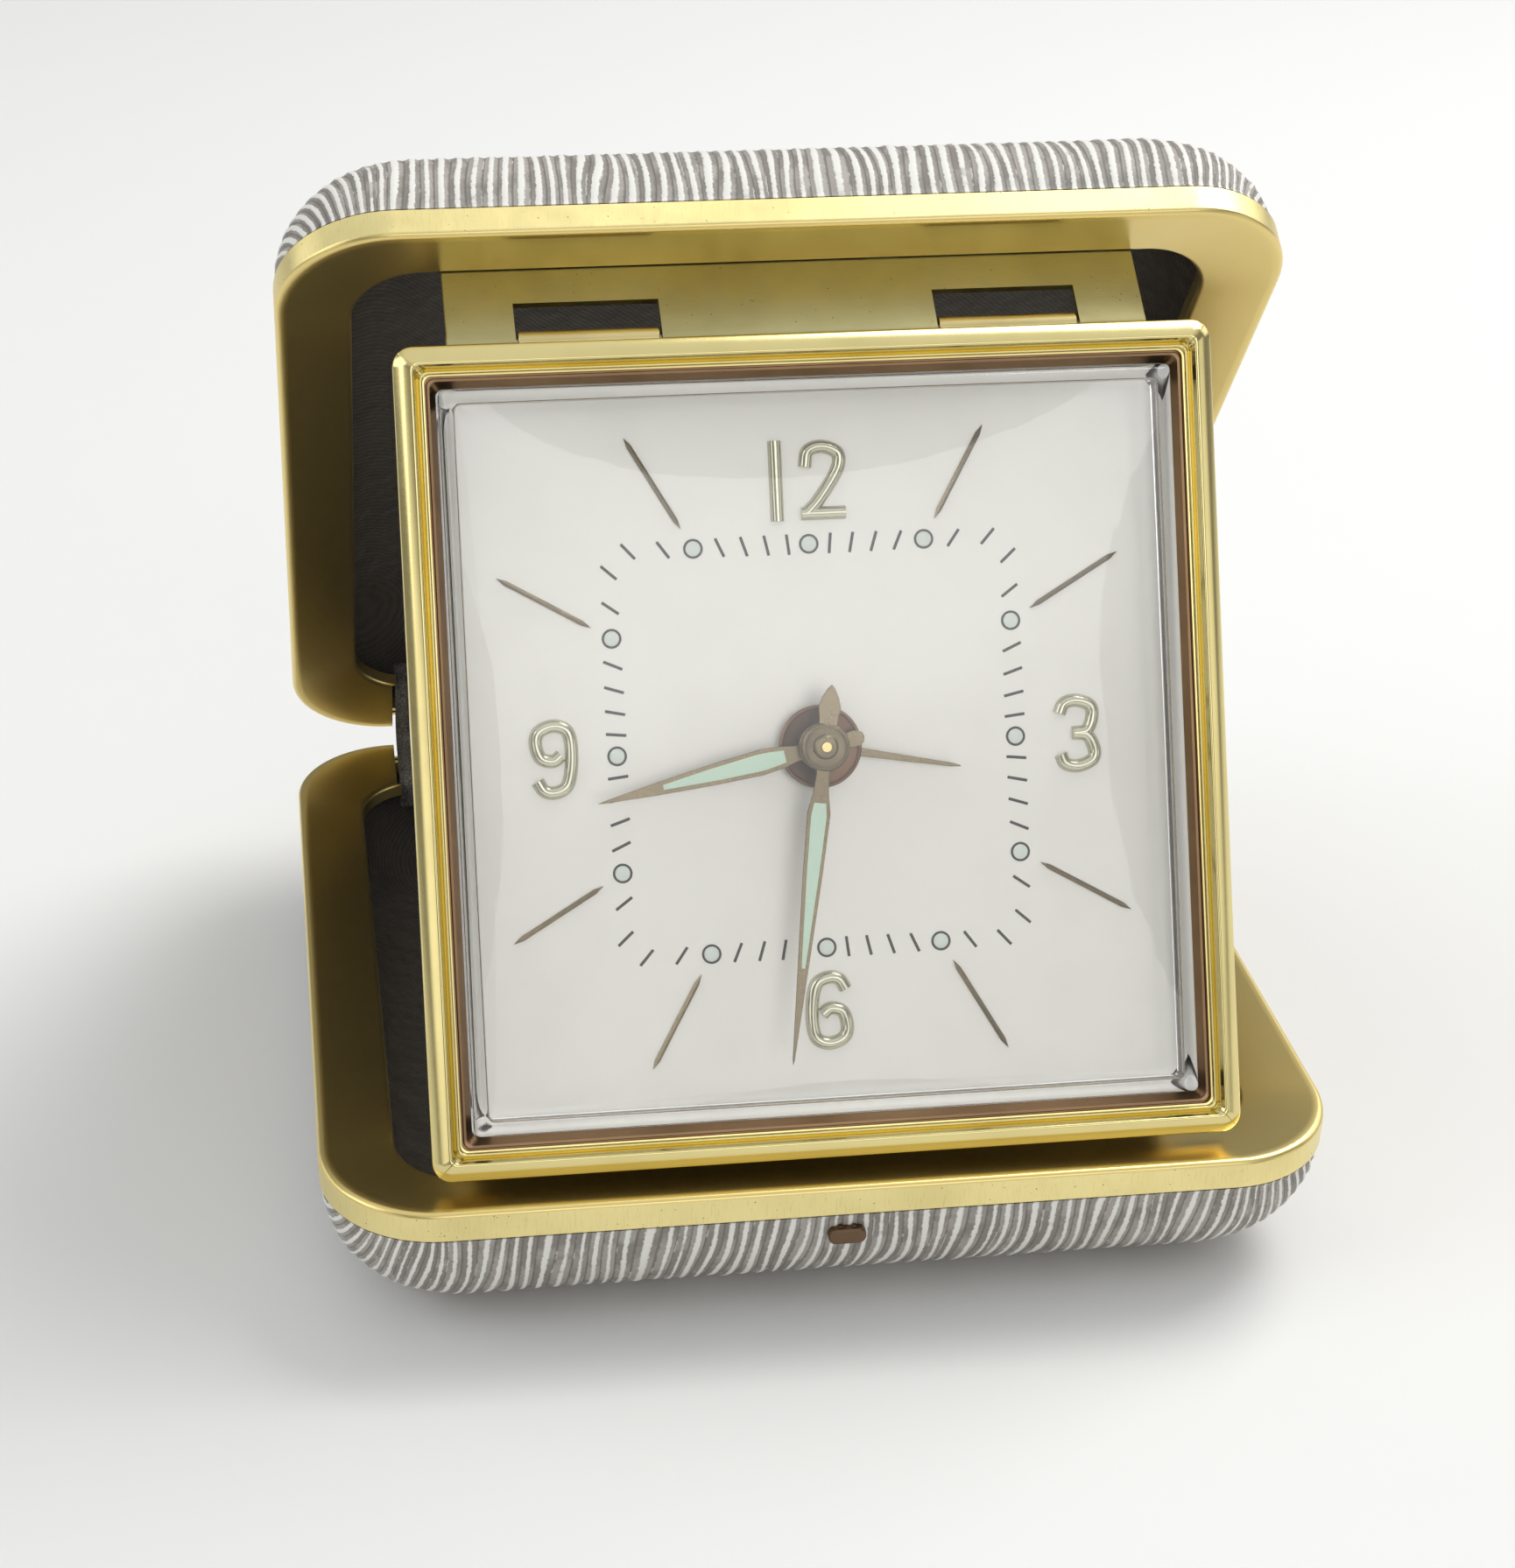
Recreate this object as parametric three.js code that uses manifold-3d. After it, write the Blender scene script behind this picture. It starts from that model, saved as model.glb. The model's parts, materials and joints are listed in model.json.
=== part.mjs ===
// Folding travel alarm clock, standing open: a two-part case, and a wind-up clock hinged into its lid.
// Millimetres, +Z up, front towards -Y. The origin is the centre of the flat underside of the lower case.
import * as THREE from 'three';
import { mergeVertices } from 'three/addons/utils/BufferGeometryUtils.js';
import Module from 'manifold-3d';

const wasm = await Module();
wasm.setup();

const fullTurn = Math.PI * 2;
const degrees = THREE.MathUtils.degToRad;

// Case: two matching trays, hinged along their back edges
const caseWidth = 82;
const caseDepth = 78;
const halfDepth = 13.5;
const caseCornerRadius = 9.5;
const cornerEase = 0.6; // fall of the corner radius for each millimetre inwards
const leastCornerRadius = 0.6;
const cornerSteps = 4;
const leastMitre = 0.4; // a ribbon's sharp corners are widened by no more than one over this
const spiralSteps = 10;
const cutMargin = 1; // how far a cut runs on past what it cuts
const lidAngle = degrees(56.3);

// Rounding between the wall and the flat of a tray
const roundingWidth = 11.4;
const wallFlat = 0.5; // upright part of the wall, between the rounding and the rim's band
const roundingSteps = 3;

// Pressed rim of each tray
const bandHeight = 2.5;
const roundingDepth = halfDepth - bandHeight - wallFlat;
const rimSheet = 0.45;
const crestRounding = 0.45;
const crestWidth = 0.5;
const flangeWidth = 5.7;
const flangeDrop = 1;
const lipDrop = 1.4;

// Layers of a tray wall, from the outside inwards
const coverInset = 0.05;
const coverSheet = 0.5;
const shellSheet = 0.5;
const liningSheet = 0.4;
const layerGap = 0.15;
const shellTop = 1.6;
const liningTop = 2.9;

// Case hinge at the back
const hingeSetback = 1.6;
const knuckleRadius = 1.15;
const hingePinRadius = 0.5;
const pinClearance = 0.08;
const hingeKnuckles = 5;
const knuckleGap = 0.2;
const knuckleSides = 12;
const leafSheet = 0.5;
const leafLeg = 1.5;

// Leatherette strip over the hinge, one half on each tray
const stripMargin = 10; // from each end of the strip to the side of the case
const stripWidth = caseWidth - 2 * stripMargin;
const hingeMargin = 8; // from each end of the hinge to the end of the strip
const hingeLength = stripWidth - 2 * hingeMargin;
const stripSheet = 0.4;
const stripBelowCrest = 0.1;
const stripHang = 1.2;
const notchClearance = 0.3;

// Spring catch at the front of the lower tray
const catchWidth = 3;
const catchHeight = 1.4;
const catchProud = 0.5;
const catchBelowCrest = 4.4;
const catchTravel = 0.8;
const catchClearance = 0.25;
const catchHoleDepth = 4;
const latchWidth = 3.6;
const latchSheet = 0.35;
const latchNose = 1.3;
const springSheet = 0.2;
const springHeight = 1.6;
const springFoot = 3;
const springRoom = 0.3;
const keeperDepth = 1.6;

// Hinge between the lid and the clock
const plateMargin = 13.15; // from each end of the plate to the side of the case
const plateWidth = caseWidth - 2 * plateMargin;
const plateSheet = 0.6;
const plateOverlap = 0.2; // of the plate's leg with the rim's lip
const plateRise = 5.45; // height of the clock's hinge pin out of the lid's mouth
const plateDepth = 3.2; // how far the plate reaches into the lid
const plateFoot = 4.1;
const plateEar = 5.4;
const plateSlot = 11.5;
const plateSlotTop = 3.2;
const clockKnuckleRadius = 1;
const clockPinRadius = 0.45;
const slotGap = 0.15;
const rivetRadius = 0.5;
const rivetHeadRadius = 1;
const rivetHeadHeight = 0.35;
const rivetInset = 7.85; // of a rivet from the end of the plate
const rivetSpread = plateWidth / 2 - rivetInset;
const clockLeafReach = 7;

// Clock head: a square bezel, a box crystal and a pressed housing
const headSideRoom = 2.6; // between the bezel and the rim's lip at each side
const headFrontRoom = 0.6;
const headRest = 1.45; // height of the bezel's lower edge over the lower tray's crest
const headCornerRadius = 1.6;
const pinAboveBezel = 0.25;
const pinBehindFace = 4.3;
const bezelBack = 3.1;
const bezelShoulder = 2;
const skirtStep = 0.3;
const bezelSheet = 0.5;
const beadWidth = 1.55;
const beadHeight = 0.75;
const beadSteps = 4;
const bezelGroove = 0.25;
const bezelLand = 2.35;
const seatSlope = 0.9;
const seatClearance = 0.15;
const crystalInset = 3.4;
const crystalCornerRadius = 0.9;
const crystalDome = 1.3;
const crystalWall = 1.1;
const crystalSheet = 0.9;
const crystalFoot = 1.6;
const domeMiddle = 1; // half side of the flat in the middle of the dome
const domeSpacing = 1.5; // above 1, the steps of the dome crowd towards its edge
const footSheet = 0.45;
const domeSteps = 4;

// Dial and what is fixed on it
const dialDepth = 4.4;
const dialSheet = 0.4;
const dialMargin = 0.25;
const dialHole = 2.3;
const hoursRound = 12;
const quarter = 3; // hours from one numeral to the next
const dialFootRadius = 0.6;
const dialFootSpread = 17;
const pipeGap = 0.05;
const numeralSheet = 0.4;
const numeralHeight = 6;
const numeralWidth = 3.6;
const numeralStroke = 0.85;
const numeralGap = 2; // of the 1's middle line from the centre
const numeralSteps = 2;
const twoCurve = [
  [-1, 0.55], [-0.75, 0.86], [0, 1], [0.85, 0.82], [1, 0.5], [0.55, 0], [-0.4, -0.65], [-1, -1]];
const threeCurve = [
  [-1, 0.62], [-0.7, 0.92], [0, 1], [0.8, 0.84], [0.95, 0.5], [0.6, 0.14], [-0.1, 0], [0.65, -0.14],
  [1, -0.5], [0.85, -0.84], [0, -1], [-0.75, -0.9], [-1, -0.6]];
const sixCurve = [
  [0.98, 0.64], [0.6, 0.93], [0, 1], [-0.7, 0.8], [-1, 0.15], [-1, -0.5], [-0.7, -0.88], [0, -1],
  [0.78, -0.84], [1, -0.5], [0.75, -0.08], [0.05, 0.06], [-0.4, -0.14]];
const numeralInset = 7.85; // of a numeral's middle from the dial's edge
const barSheet = 0.25;
const barWidth = 0.42;
const barInset = 0.15;
const barLength = 8.4;
const dotRadius = 0.62;
const dotSheet = 0.15;
const dotInset = 12.85; // of the square that carries the dots from the dial's edge
const dotSpread = 1.9; // how much further out than that square its cut corners stand
const dotSides = 6;

// Hands, and the time that they show
const handSheet = 0.25;
const minuteHandInset = 3.85; // of its tip from the dial's edge
const minuteHandTail = 4.7;
const minuteHandWidth = 1.5;
const hourHandInset = 10.55;
const hourHandTail = 3.4;
const hourHandWidth = 1.8;
const alarmHandLength = 11.4;
const alarmHandTail = 3.3;
const alarmHandWidth = 0.6;
const alarmDiscRadius = 3.3;
const handHubRadius = 1.9;
const minuteReading = degrees(188.5);
const hourReading = degrees(258.7);
const alarmReading = degrees(100.6);
const alarmHandHeight = 0.95;
const hourHandHeight = 2.1;
const minuteHandHeight = 3.3;
const arborTopHeight = 4;
// Outline of a blade and its tail, as shares of its half-width and of its length or tail
const bladeWaist = 0.7;
const bladeBelly = 0.28;
const tailBelly = 0.62;
const tailWidth = 0.9;

// Pipes that turn inside one another at the centre
const centreArborRadius = 0.4;
const cannonRadius = 0.85;
const hourPipeRadius = 1.3;
const alarmPipeRadius = 1.75;
const runningGap = 0.08;

// Housing at the back of the clock
const housingInset = 2.55;
const housingCornerRadius = 4;
const housingBack = 17.4;
const housingSheet = 0.6;
const housingRounding = 2.4;
const housingSteps = 2;
const housingFlange = 1.5;
const housingFlangeSheet = 0.5;

// Frame of the movement
const movementSize = 46;
const movementCornerRadius = 3;
const frontPlateDepth = 7.6;
const movementSheet = 0.8;
const movementSpace = 6.2;
const pillarRadius = 1.3;
const pillarSpread = 19.5;
const pivotClearance = 0.08;
const screwRadius = 0.7;
const screwHeadRadius = 1.5;
const screwHeadHeight = 0.6;
const screwSlot = 0.35;
const roundSides = 10;
const drumSides = 20;
const fineSides = 32;
const pivotSides = 8;

// Teeth
const toothTip = 0.7; // height above the pitch line, in modules
const toothRoot = 1.05; // depth below the pitch line, in modules
const wheelSheet = 0.4;
const pinionWidth = 1.2;
const arborRadius = 0.35;
const stemRadius = 0.6;

// Motion work behind the dial
const cannonTeeth = 8;
const minuteWheelTeeth = 24;
const minuteModule = 0.375;
const minutePinionTeeth = 8;
const hourWheelTeeth = 32;
const hourModule = 0.3;
const alarmWheelTeeth = 32;
const alarmPinionTeeth = 10;
const alarmModule = 0.3;
const setPinionTeeth = 8;
const alarmWheelDepth = 5.1;
const hourWheelDepth = 5.75;
const minuteWheelDepth = 6.6;
const minuteWheelDirection = degrees(-60);
const timeSetDirection = degrees(-15);
const alarmSetDirection = degrees(140);

// Going train
const barrelTeeth = 48;
const barrelModule = 0.3;
const centrePinionTeeth = 8;
const centreTeeth = 48;
const centreModule = 0.2;
const thirdPinionTeeth = 6;
const thirdTeeth = 45;
const thirdModule = 0.2;
const fourthPinionTeeth = 6;
const fourthTeeth = 48;
const fourthModule = 0.185;
const escapePinionTeeth = 6;
const escapeTeeth = 15;
const escapeRadius = 3.2;
const escapeToothDepth = 0.9;
const barrelDirection = degrees(215);
const thirdDirection = degrees(60);
const fourthDirection = degrees(-10);
const escapeDirection = degrees(-50);

// Levels of the train, measured back from the front plate
const greatWheelLevel = 1;
const drumLevel = 1.4;
const drumHeight = 3.2;
const centrePinionLevel = 0.6;
const centreWheelLevel = 5;
const thirdPinionLevel = 4.6;
const thirdWheelLevel = 3;
const fourthPinionLevel = 2.6;
const fourthWheelLevel = 1.2;
const escapePinionLevel = 0.8;
const escapeWheelLevel = 4.5;

// Escapement
const palletDistance = 4.7;
const palletDirection = degrees(-60);
const palletSpread = degrees(35);
const palletClearance = 0.4;
const palletPinRadius = 0.2;
const leverWidth = 0.7;
const leverLength = 3.4;
const balanceDistance = 5.5;
const balanceDirection = degrees(-60);
const balanceRadius = 4.6;
const balanceRim = 0.7;
const balanceLevel = 2;
const balanceSheet = 0.6;
const rollerRadius = 0.8;
const hairspringLevel = 0.8;
const hairspringTurns = 2;
const hairspringInner = 0.75;
const hairspringPitch = 0.8;
const hairspringSheet = 0.15;
const regulatorLength = 7;
const regulatorWidth = 0.9;
const regulatorDirection = degrees(60);
const regulatorSwing = degrees(20);

// Barrels and winding
const drumRadius = 6.3;
const drumWall = 0.5;
const mainspringSheet = 0.25;
const mainspringPitch = 0.9;
const mainspringTurns = 4;
const mainspringInner = 1.6;
const barrelArborRadius = 0.9;
const alarmBarrelTeeth = 36;
const alarmDrumRadius = 4.7;
const alarmBarrelPlace = new THREE.Vector2(-5.5, 12.5);
const alarmMainspringTurns = 2;
const keyLength = 10;
const keySheet = 1.4;
const keyHeight = 3.1;
const keyBoreShare = 0.7; // of the key's height
const keyHubRadius = 1.7;
const knobRadius = 2.8;
const knobHeight = 2.6;
const knobRidges = 16;
const knobRidgeDepth = 0.3;
const backClearance = 0.3;
const boreClearance = 0.15;

// Alarm work
const strikePinionTeeth = 6;
const strikeTeeth = 20;
const strikeRadius = 3.1;
const strikeToothDepth = 0.7;
const strikeDirection = degrees(20);
const strikePinionLevel = 0.7;
const strikeWheelLevel = 5;
const hammerPlace = new THREE.Vector2(8.5, 16);
const hammerHead = new THREE.Vector2(14.4, 20.8);
const hammerHeadRadius = 1.2;
const hammerHeadHeight = 2.4;
const hammerArm = 0.9;
const hammerPallet = 3.9;
const stopPlace = new THREE.Vector2(3, 22.5);
const stopTravel = 3;
const stopLength = 3;
const stopHeight = 1.6;
const stopStem = 1.2;

// Finishes
function finish(colour, roughness, metalness) {
  return new THREE.MeshStandardMaterial({ color: colour, roughness, metalness });
}
const brass = () => finish(0xd9b24a, 0.25, 1);
const paleBrass = () => finish(0xd8c27a, 0.35, 1);
const steel = () => finish(0xb9bcc0, 0.35, 1);
const darkSteel = () => finish(0x5d5a55, 0.5, 0.8);
const vinyl = () => finish(0x9a9592, 0.8, 0);
const fabric = () => finish(0x4e4b4c, 0.95, 0);
const clear = () => finish(0xe8eef0, 0.05, 0);
const dialSilver = () => finish(0xe6e3dc, 0.45, 0.2);
const bronze = () => finish(0x4a2f1e, 0.4, 0.7);

// Closed solids
function solidOf(geometry) {
  const plain = geometry.clone();
  plain.deleteAttribute('normal');
  plain.deleteAttribute('uv');
  const merged = mergeVertices(plain, 1e-5);
  return new wasm.Manifold(new wasm.Mesh({
    numProp: 3,
    vertProperties: new Float32Array(merged.attributes.position.array),
    triVerts: new Uint32Array(merged.index.array),
  }));
}

function geometryOf(solid) {
  const mesh = solid.getMesh();
  const geometry = new THREE.BufferGeometry();
  geometry.setAttribute('position', new THREE.BufferAttribute(mesh.vertProperties, 3));
  geometry.setIndex(new THREE.BufferAttribute(mesh.triVerts, 1));
  geometry.computeVertexNormals();
  return geometry;
}

function joined(first, ...others) {
  return others.reduce((whole, other) => whole.add(other), first);
}

function cut(whole, ...tools) {
  return tools.reduce((rest, tool) => rest.subtract(tool), whole);
}

function piece(parent, name, solid, material) {
  const mesh = new THREE.Mesh(geometryOf(solid), material);
  mesh.name = name;
  parent.add(mesh);
  return mesh;
}

// Rounded-rectangle loops, and the solids lofted through them
function plan(centreY, halfX, halfY, radius, ease) {
  return { centreY, halfX, halfY, radius, ease };
}

function planLoop(outline, inset, height) {
  const radius = Math.max(outline.radius - outline.ease * inset, leastCornerRadius);
  const reachX = outline.halfX - inset - radius;
  const reachY = outline.halfY - inset - radius;
  const corners = [[reachX, reachY], [-reachX, reachY], [-reachX, -reachY], [reachX, -reachY]];
  return corners.flatMap(([x, y], corner) => Array.from({ length: cornerSteps + 1 }, (_, step) => {
    const angle = (corner + step / cornerSteps) * Math.PI / 2;
    return new THREE.Vector3(
      x + radius * Math.cos(angle), outline.centreY + y + radius * Math.sin(angle), height);
  }));
}

function enclosedVolume(points, faces) {
  let volume = 0;
  for (let corner = 0; corner < faces.length; corner += 3) {
    const [a, b, c] = [points[faces[corner]], points[faces[corner + 1]], points[faces[corner + 2]]];
    volume += a.dot(new THREE.Vector3().crossVectors(b, c));
  }
  return volume;
}

function loft(loops, closed) {
  const count = loops[0].length;
  const points = loops.flat();
  const faces = [];
  const spans = closed ? loops.length : loops.length - 1;
  for (let loop = 0; loop < spans; loop += 1) {
    for (let step = 0; step < count; step += 1) {
      const here = loop * count + step;
      const beside = loop * count + ((step + 1) % count);
      const next = ((loop + 1) % loops.length) * count;
      const over = next + step;
      const overBeside = next + ((step + 1) % count);
      faces.push(here, beside, overBeside, here, overBeside, over);
    }
  }
  if (!closed) {
    const top = (loops.length - 1) * count;
    for (let step = 1; step < count - 1; step += 1) {
      faces.push(0, step + 1, step);
      faces.push(top, top + step, top + step + 1);
    }
  }
  if (enclosedVolume(points, faces) < 0) {
    faces.reverse();
  }
  const geometry = new THREE.BufferGeometry().setFromPoints(points);
  geometry.setIndex(faces);
  return solidOf(geometry);
}

function frameOf(outline, profile) {
  return loft(profile.map(([inset, height]) => planLoop(outline, inset, height)), true);
}

function cupOf(outline, profile) {
  return loft(profile.map(([inset, height]) => planLoop(outline, inset, height)), false);
}

// Flat shapes stood up as slabs; depth is measured back from the face of the clock, along -Z
function slab(shape, near, far) {
  const geometry = new THREE.ExtrudeGeometry(shape, {
    depth: far - near, bevelEnabled: false, curveSegments: 6,
  });
  geometry.translate(0, 0, -far);
  return solidOf(geometry);
}

function rod(radius, near, far, place = new THREE.Vector2(), sides = roundSides) {
  const geometry = new THREE.CylinderGeometry(radius, radius, far - near, sides);
  geometry.rotateX(Math.PI / 2);
  geometry.translate(place.x, place.y, -(near + far) / 2);
  return solidOf(geometry);
}

function block(x0, x1, y0, y1, z0, z1) {
  const geometry = new THREE.BoxGeometry(x1 - x0, y1 - y0, z1 - z0);
  geometry.translate((x0 + x1) / 2, (y0 + y1) / 2, (z0 + z1) / 2);
  return solidOf(geometry);
}

function outlineShape(points) {
  return new THREE.Shape(points.map(([x, y]) => new THREE.Vector2(x, y)));
}

// A flat shape in the Y-Z plane, drawn out along X
function bar(shape, x0, x1) {
  const geometry = new THREE.ExtrudeGeometry(shape, { depth: x1 - x0, bevelEnabled: false });
  const across = new THREE.Vector3(1, 0, 0);
  geometry.applyMatrix4(new THREE.Matrix4().makeBasis(
    new THREE.Vector3(0, 1, 0), new THREE.Vector3(0, 0, 1), across));
  geometry.translate(x0, 0, 0);
  return solidOf(geometry);
}

function crossRod(radius, x0, x1, y, z, sides = knuckleSides) {
  const geometry = new THREE.CylinderGeometry(radius, radius, x1 - x0, sides);
  geometry.rotateZ(Math.PI / 2);
  geometry.translate((x0 + x1) / 2, y, z);
  return solidOf(geometry);
}

// A line of even thickness, as a closed outline
function ribbonShape(line, thickness) {
  const side = (sign) => line.map((point, index) => {
    const before = line[Math.max(index - 1, 0)];
    const after = line[Math.min(index + 1, line.length - 1)];
    const inward = point.clone().sub(before).normalize();
    const outward = after.clone().sub(point).normalize();
    const along = inward.clone().add(outward).normalize();
    const across = new THREE.Vector2(-along.y, along.x);
    const first = index === 0 ? outward : inward;
    const widening = 1 / Math.max(Math.abs(across.dot(new THREE.Vector2(-first.y, first.x))), leastMitre);
    return point.clone().addScaledVector(across, sign * widening * thickness / 2);
  });
  return new THREE.Shape([...side(1), ...side(-1).reverse()]);
}

function spiralShape(inner, pitch, turns, thickness, start) {
  const line = Array.from({ length: turns * spiralSteps + 1 }, (_, step) => {
    const angle = start + step / spiralSteps * fullTurn;
    const radius = inner + pitch * step / spiralSteps;
    return new THREE.Vector2(radius * Math.cos(angle), radius * Math.sin(angle));
  });
  return ribbonShape(line, thickness);
}

// Toothed wheels
function pitchRadius(teeth, module) {
  return teeth * module / 2;
}

function toothedShape(teeth, tip, root, phase) {
  const pitch = fullTurn / teeth;
  const points = Array.from({ length: teeth }, (_, tooth) => {
    const angle = phase + tooth * pitch;
    return [[0, tip], [pitch / 2, root]].map(([turn, radius]) => [
      radius * Math.cos(angle + turn), radius * Math.sin(angle + turn)]);
  });
  return outlineShape(points.flat());
}

function gear(teeth, module, phase, near, far) {
  const radius = pitchRadius(teeth, module);
  return slab(toothedShape(teeth, radius + toothTip * module, radius - toothRoot * module, phase), near, far);
}

function ratchet(teeth, radius, depth, near, far) {
  return slab(toothedShape(teeth, radius, radius - depth, 0), near, far);
}

// Turn of a wheel that puts its gap where the other wheel's tooth stands
function meshedPhase(phase, teeth, otherTeeth, direction) {
  return direction + Math.PI - (teeth / otherTeeth) * (phase - direction) - Math.PI / otherTeeth;
}

function along(start, distance, direction) {
  const step = new THREE.Vector2(Math.cos(direction), Math.sin(direction));
  return start.clone().addScaledVector(step, distance);
}

function meshDistance(teeth, otherTeeth, module) {
  return pitchRadius(teeth, module) + pitchRadius(otherTeeth, module);
}

function moved(solid, place) {
  return solid.translate([place.x, place.y, 0]);
}

// Places of the arbors, from the centre of the dial
const centre = new THREE.Vector2();
const minuteWheelPlace = along(
  centre, meshDistance(cannonTeeth, minuteWheelTeeth, minuteModule), minuteWheelDirection);
const timeSetPlace = along(
  minuteWheelPlace, meshDistance(setPinionTeeth, minuteWheelTeeth, minuteModule), timeSetDirection);
const alarmSetPlace = along(
  centre, meshDistance(alarmWheelTeeth, alarmPinionTeeth, alarmModule), alarmSetDirection);
const barrelPlace = along(
  centre, meshDistance(barrelTeeth, centrePinionTeeth, barrelModule), barrelDirection);
const thirdPlace = along(centre, meshDistance(centreTeeth, thirdPinionTeeth, centreModule), thirdDirection);
const fourthPlace = along(
  thirdPlace, meshDistance(thirdTeeth, fourthPinionTeeth, thirdModule), fourthDirection);
const escapePlace = along(
  fourthPlace, meshDistance(fourthTeeth, escapePinionTeeth, fourthModule), escapeDirection);
const palletPlace = along(escapePlace, palletDistance, palletDirection);
const balancePlace = along(palletPlace, balanceDistance, balanceDirection);
const strikePlace = along(
  alarmBarrelPlace, meshDistance(alarmBarrelTeeth, strikePinionTeeth, barrelModule), strikeDirection);
const pillarPlaces = [[1, 1], [-1, 1], [-1, -1], [1, -1]].map(
  ([x, y]) => new THREE.Vector2(x * pillarSpread, y * pillarSpread));

// Levels worked out from the frame of the movement
const frontPlateBack = frontPlateDepth + movementSheet;
const backPlateDepth = frontPlateBack + movementSpace;
const backPlateBack = backPlateDepth + movementSheet;
const housingInside = housingBack - housingSheet;
const level = (height) => frontPlateBack + height;

// Sizes worked out from the case
const lipInset = flangeWidth + crestRounding;
const plateFromHinge = hingeSetback + caseDepth - lipInset + plateOverlap - clockKnuckleRadius;
const headHalfX = caseWidth / 2 - lipInset - headSideRoom;
const headHalfY = caseDepth / 2 - lipInset - headFrontRoom;
const housingHalfX = headHalfX - housingInset;
const housingHalfY = headHalfY - housingInset;
const dialHalfX = housingHalfX - housingSheet - dialMargin;
const dialHalfY = housingHalfY - housingSheet - dialMargin;
const dialReach = Math.min(dialHalfX, dialHalfY);
const barOuter = dialReach - barInset;

// Tilt at which the clock, hung from the lid, rests its lower edge on the lower tray
function restingTilt() {
  const down = 2 * headHalfY + pinAboveBezel;
  const drop = plateFromHinge * Math.sin(lidAngle) - plateRise * Math.cos(lidAngle) - headRest;
  return Math.atan2(pinBehindFace, down) + Math.asin(drop / Math.hypot(down, pinBehindFace));
}

// Groups: each tray's group has its origin on the case hinge, Y towards its front and Z out of its mouth
const clock = new THREE.Group();
const lowerCase = new THREE.Group();
lowerCase.position.set(0, caseDepth / 2 + hingeSetback, halfDepth);
lowerCase.rotation.z = Math.PI;
const upperCase = new THREE.Group();
upperCase.position.copy(lowerCase.position);
upperCase.rotation.x = Math.PI - lidAngle;
const hungClock = new THREE.Group();
hungClock.position.set(0, plateFromHinge, plateRise);
hungClock.rotation.x = restingTilt() + lidAngle - Math.PI;
const face = new THREE.Group(); // its origin is the centre of the clock's front plane
face.position.set(0, -(pinAboveBezel + headHalfY), pinBehindFace);
hungClock.add(face);
upperCase.add(hungClock);
clock.add(lowerCase, upperCase);

const trayPlan = plan(
  hingeSetback + caseDepth / 2, caseWidth / 2, caseDepth / 2, caseCornerRadius, cornerEase);
const trayFront = hingeSetback + caseDepth;
const roundingTop = halfDepth - roundingDepth;
const notchDepth = knuckleRadius + coverInset + notchClearance;
const shellOuter = coverSheet + layerGap;
const liningOuter = shellOuter + shellSheet + layerGap;
const liningInset = coverInset + liningOuter + liningSheet;
const wallInset = (offset, depth) => coverInset + offset + (roundingWidth - offset) * (1 - Math.sqrt(
  1 - ((depth - roundingTop) / (roundingDepth - offset)) ** 2));
const latchBottom = catchBelowCrest + catchHeight / 2 + latchSheet;
const latchInset = wallInset(liningOuter + liningSheet, latchBottom) + catchClearance + layerGap;

// One surface of a tray, at some distance inside the outermost one, from wall to flat
function traySurface(offset) {
  return Array.from({ length: roundingSteps + 1 }, (_, step) => {
    const angle = step / roundingSteps * Math.PI / 2;
    return [
      coverInset + offset + (roundingWidth - offset) * (1 - Math.cos(angle)),
      -roundingTop - (roundingDepth - offset) * Math.sin(angle),
    ];
  });
}

function trayLayer(offset, sheet, top) {
  const outer = traySurface(offset);
  const inner = traySurface(offset + sheet).reverse();
  const wall = top < roundingTop ? [[coverInset + offset + sheet, -top], [coverInset + offset, -top]] : [];
  return cupOf(trayPlan, [...inner, ...wall, ...outer]);
}

function rimSolid() {
  return frameOf(trayPlan, [
    [0, -bandHeight],
    [0, -crestRounding],
    [crestRounding * (1 - Math.SQRT1_2), -crestRounding * (1 - Math.SQRT1_2)],
    [crestRounding, 0],
    [crestRounding + crestWidth, 0],
    [flangeWidth, -flangeDrop],
    [flangeWidth + crestRounding * Math.SQRT1_2, -flangeDrop - crestRounding * (1 - Math.SQRT1_2)],
    [lipInset, -flangeDrop - crestRounding],
    [lipInset, -flangeDrop - lipDrop],
    [lipInset - rimSheet, -flangeDrop - lipDrop],
    [lipInset - rimSheet, -flangeDrop - crestRounding],
    [crestRounding + crestWidth, -rimSheet],
    [rimSheet, -crestRounding],
    [rimSheet, -bandHeight],
  ]);
}

// The rim and the shell give way to the hinge at the back
function hingeNotch() {
  const half = stripWidth / 2 + notchClearance;
  const back = hingeSetback + rimSheet + layerGap;
  const front = hingeSetback + lipInset + notchClearance;
  return block(-half, half, -cutMargin, front, -notchDepth, cutMargin).add(
    block(-half, half, back, front, -flangeDrop - lipDrop - cutMargin, 0));
}

function catchHole() {
  const half = catchWidth / 2 + catchClearance;
  const rise = catchHeight / 2 + catchClearance;
  return block(
    -half, half, trayFront - catchHoleDepth, trayFront + cutMargin,
    -catchBelowCrest - rise, -catchBelowCrest + rise);
}

function hingeSegment(index) {
  const length = hingeLength / hingeKnuckles;
  const start = -hingeLength / 2 + index * length;
  return [start + knuckleGap / 2, start + length - knuckleGap / 2];
}

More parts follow.
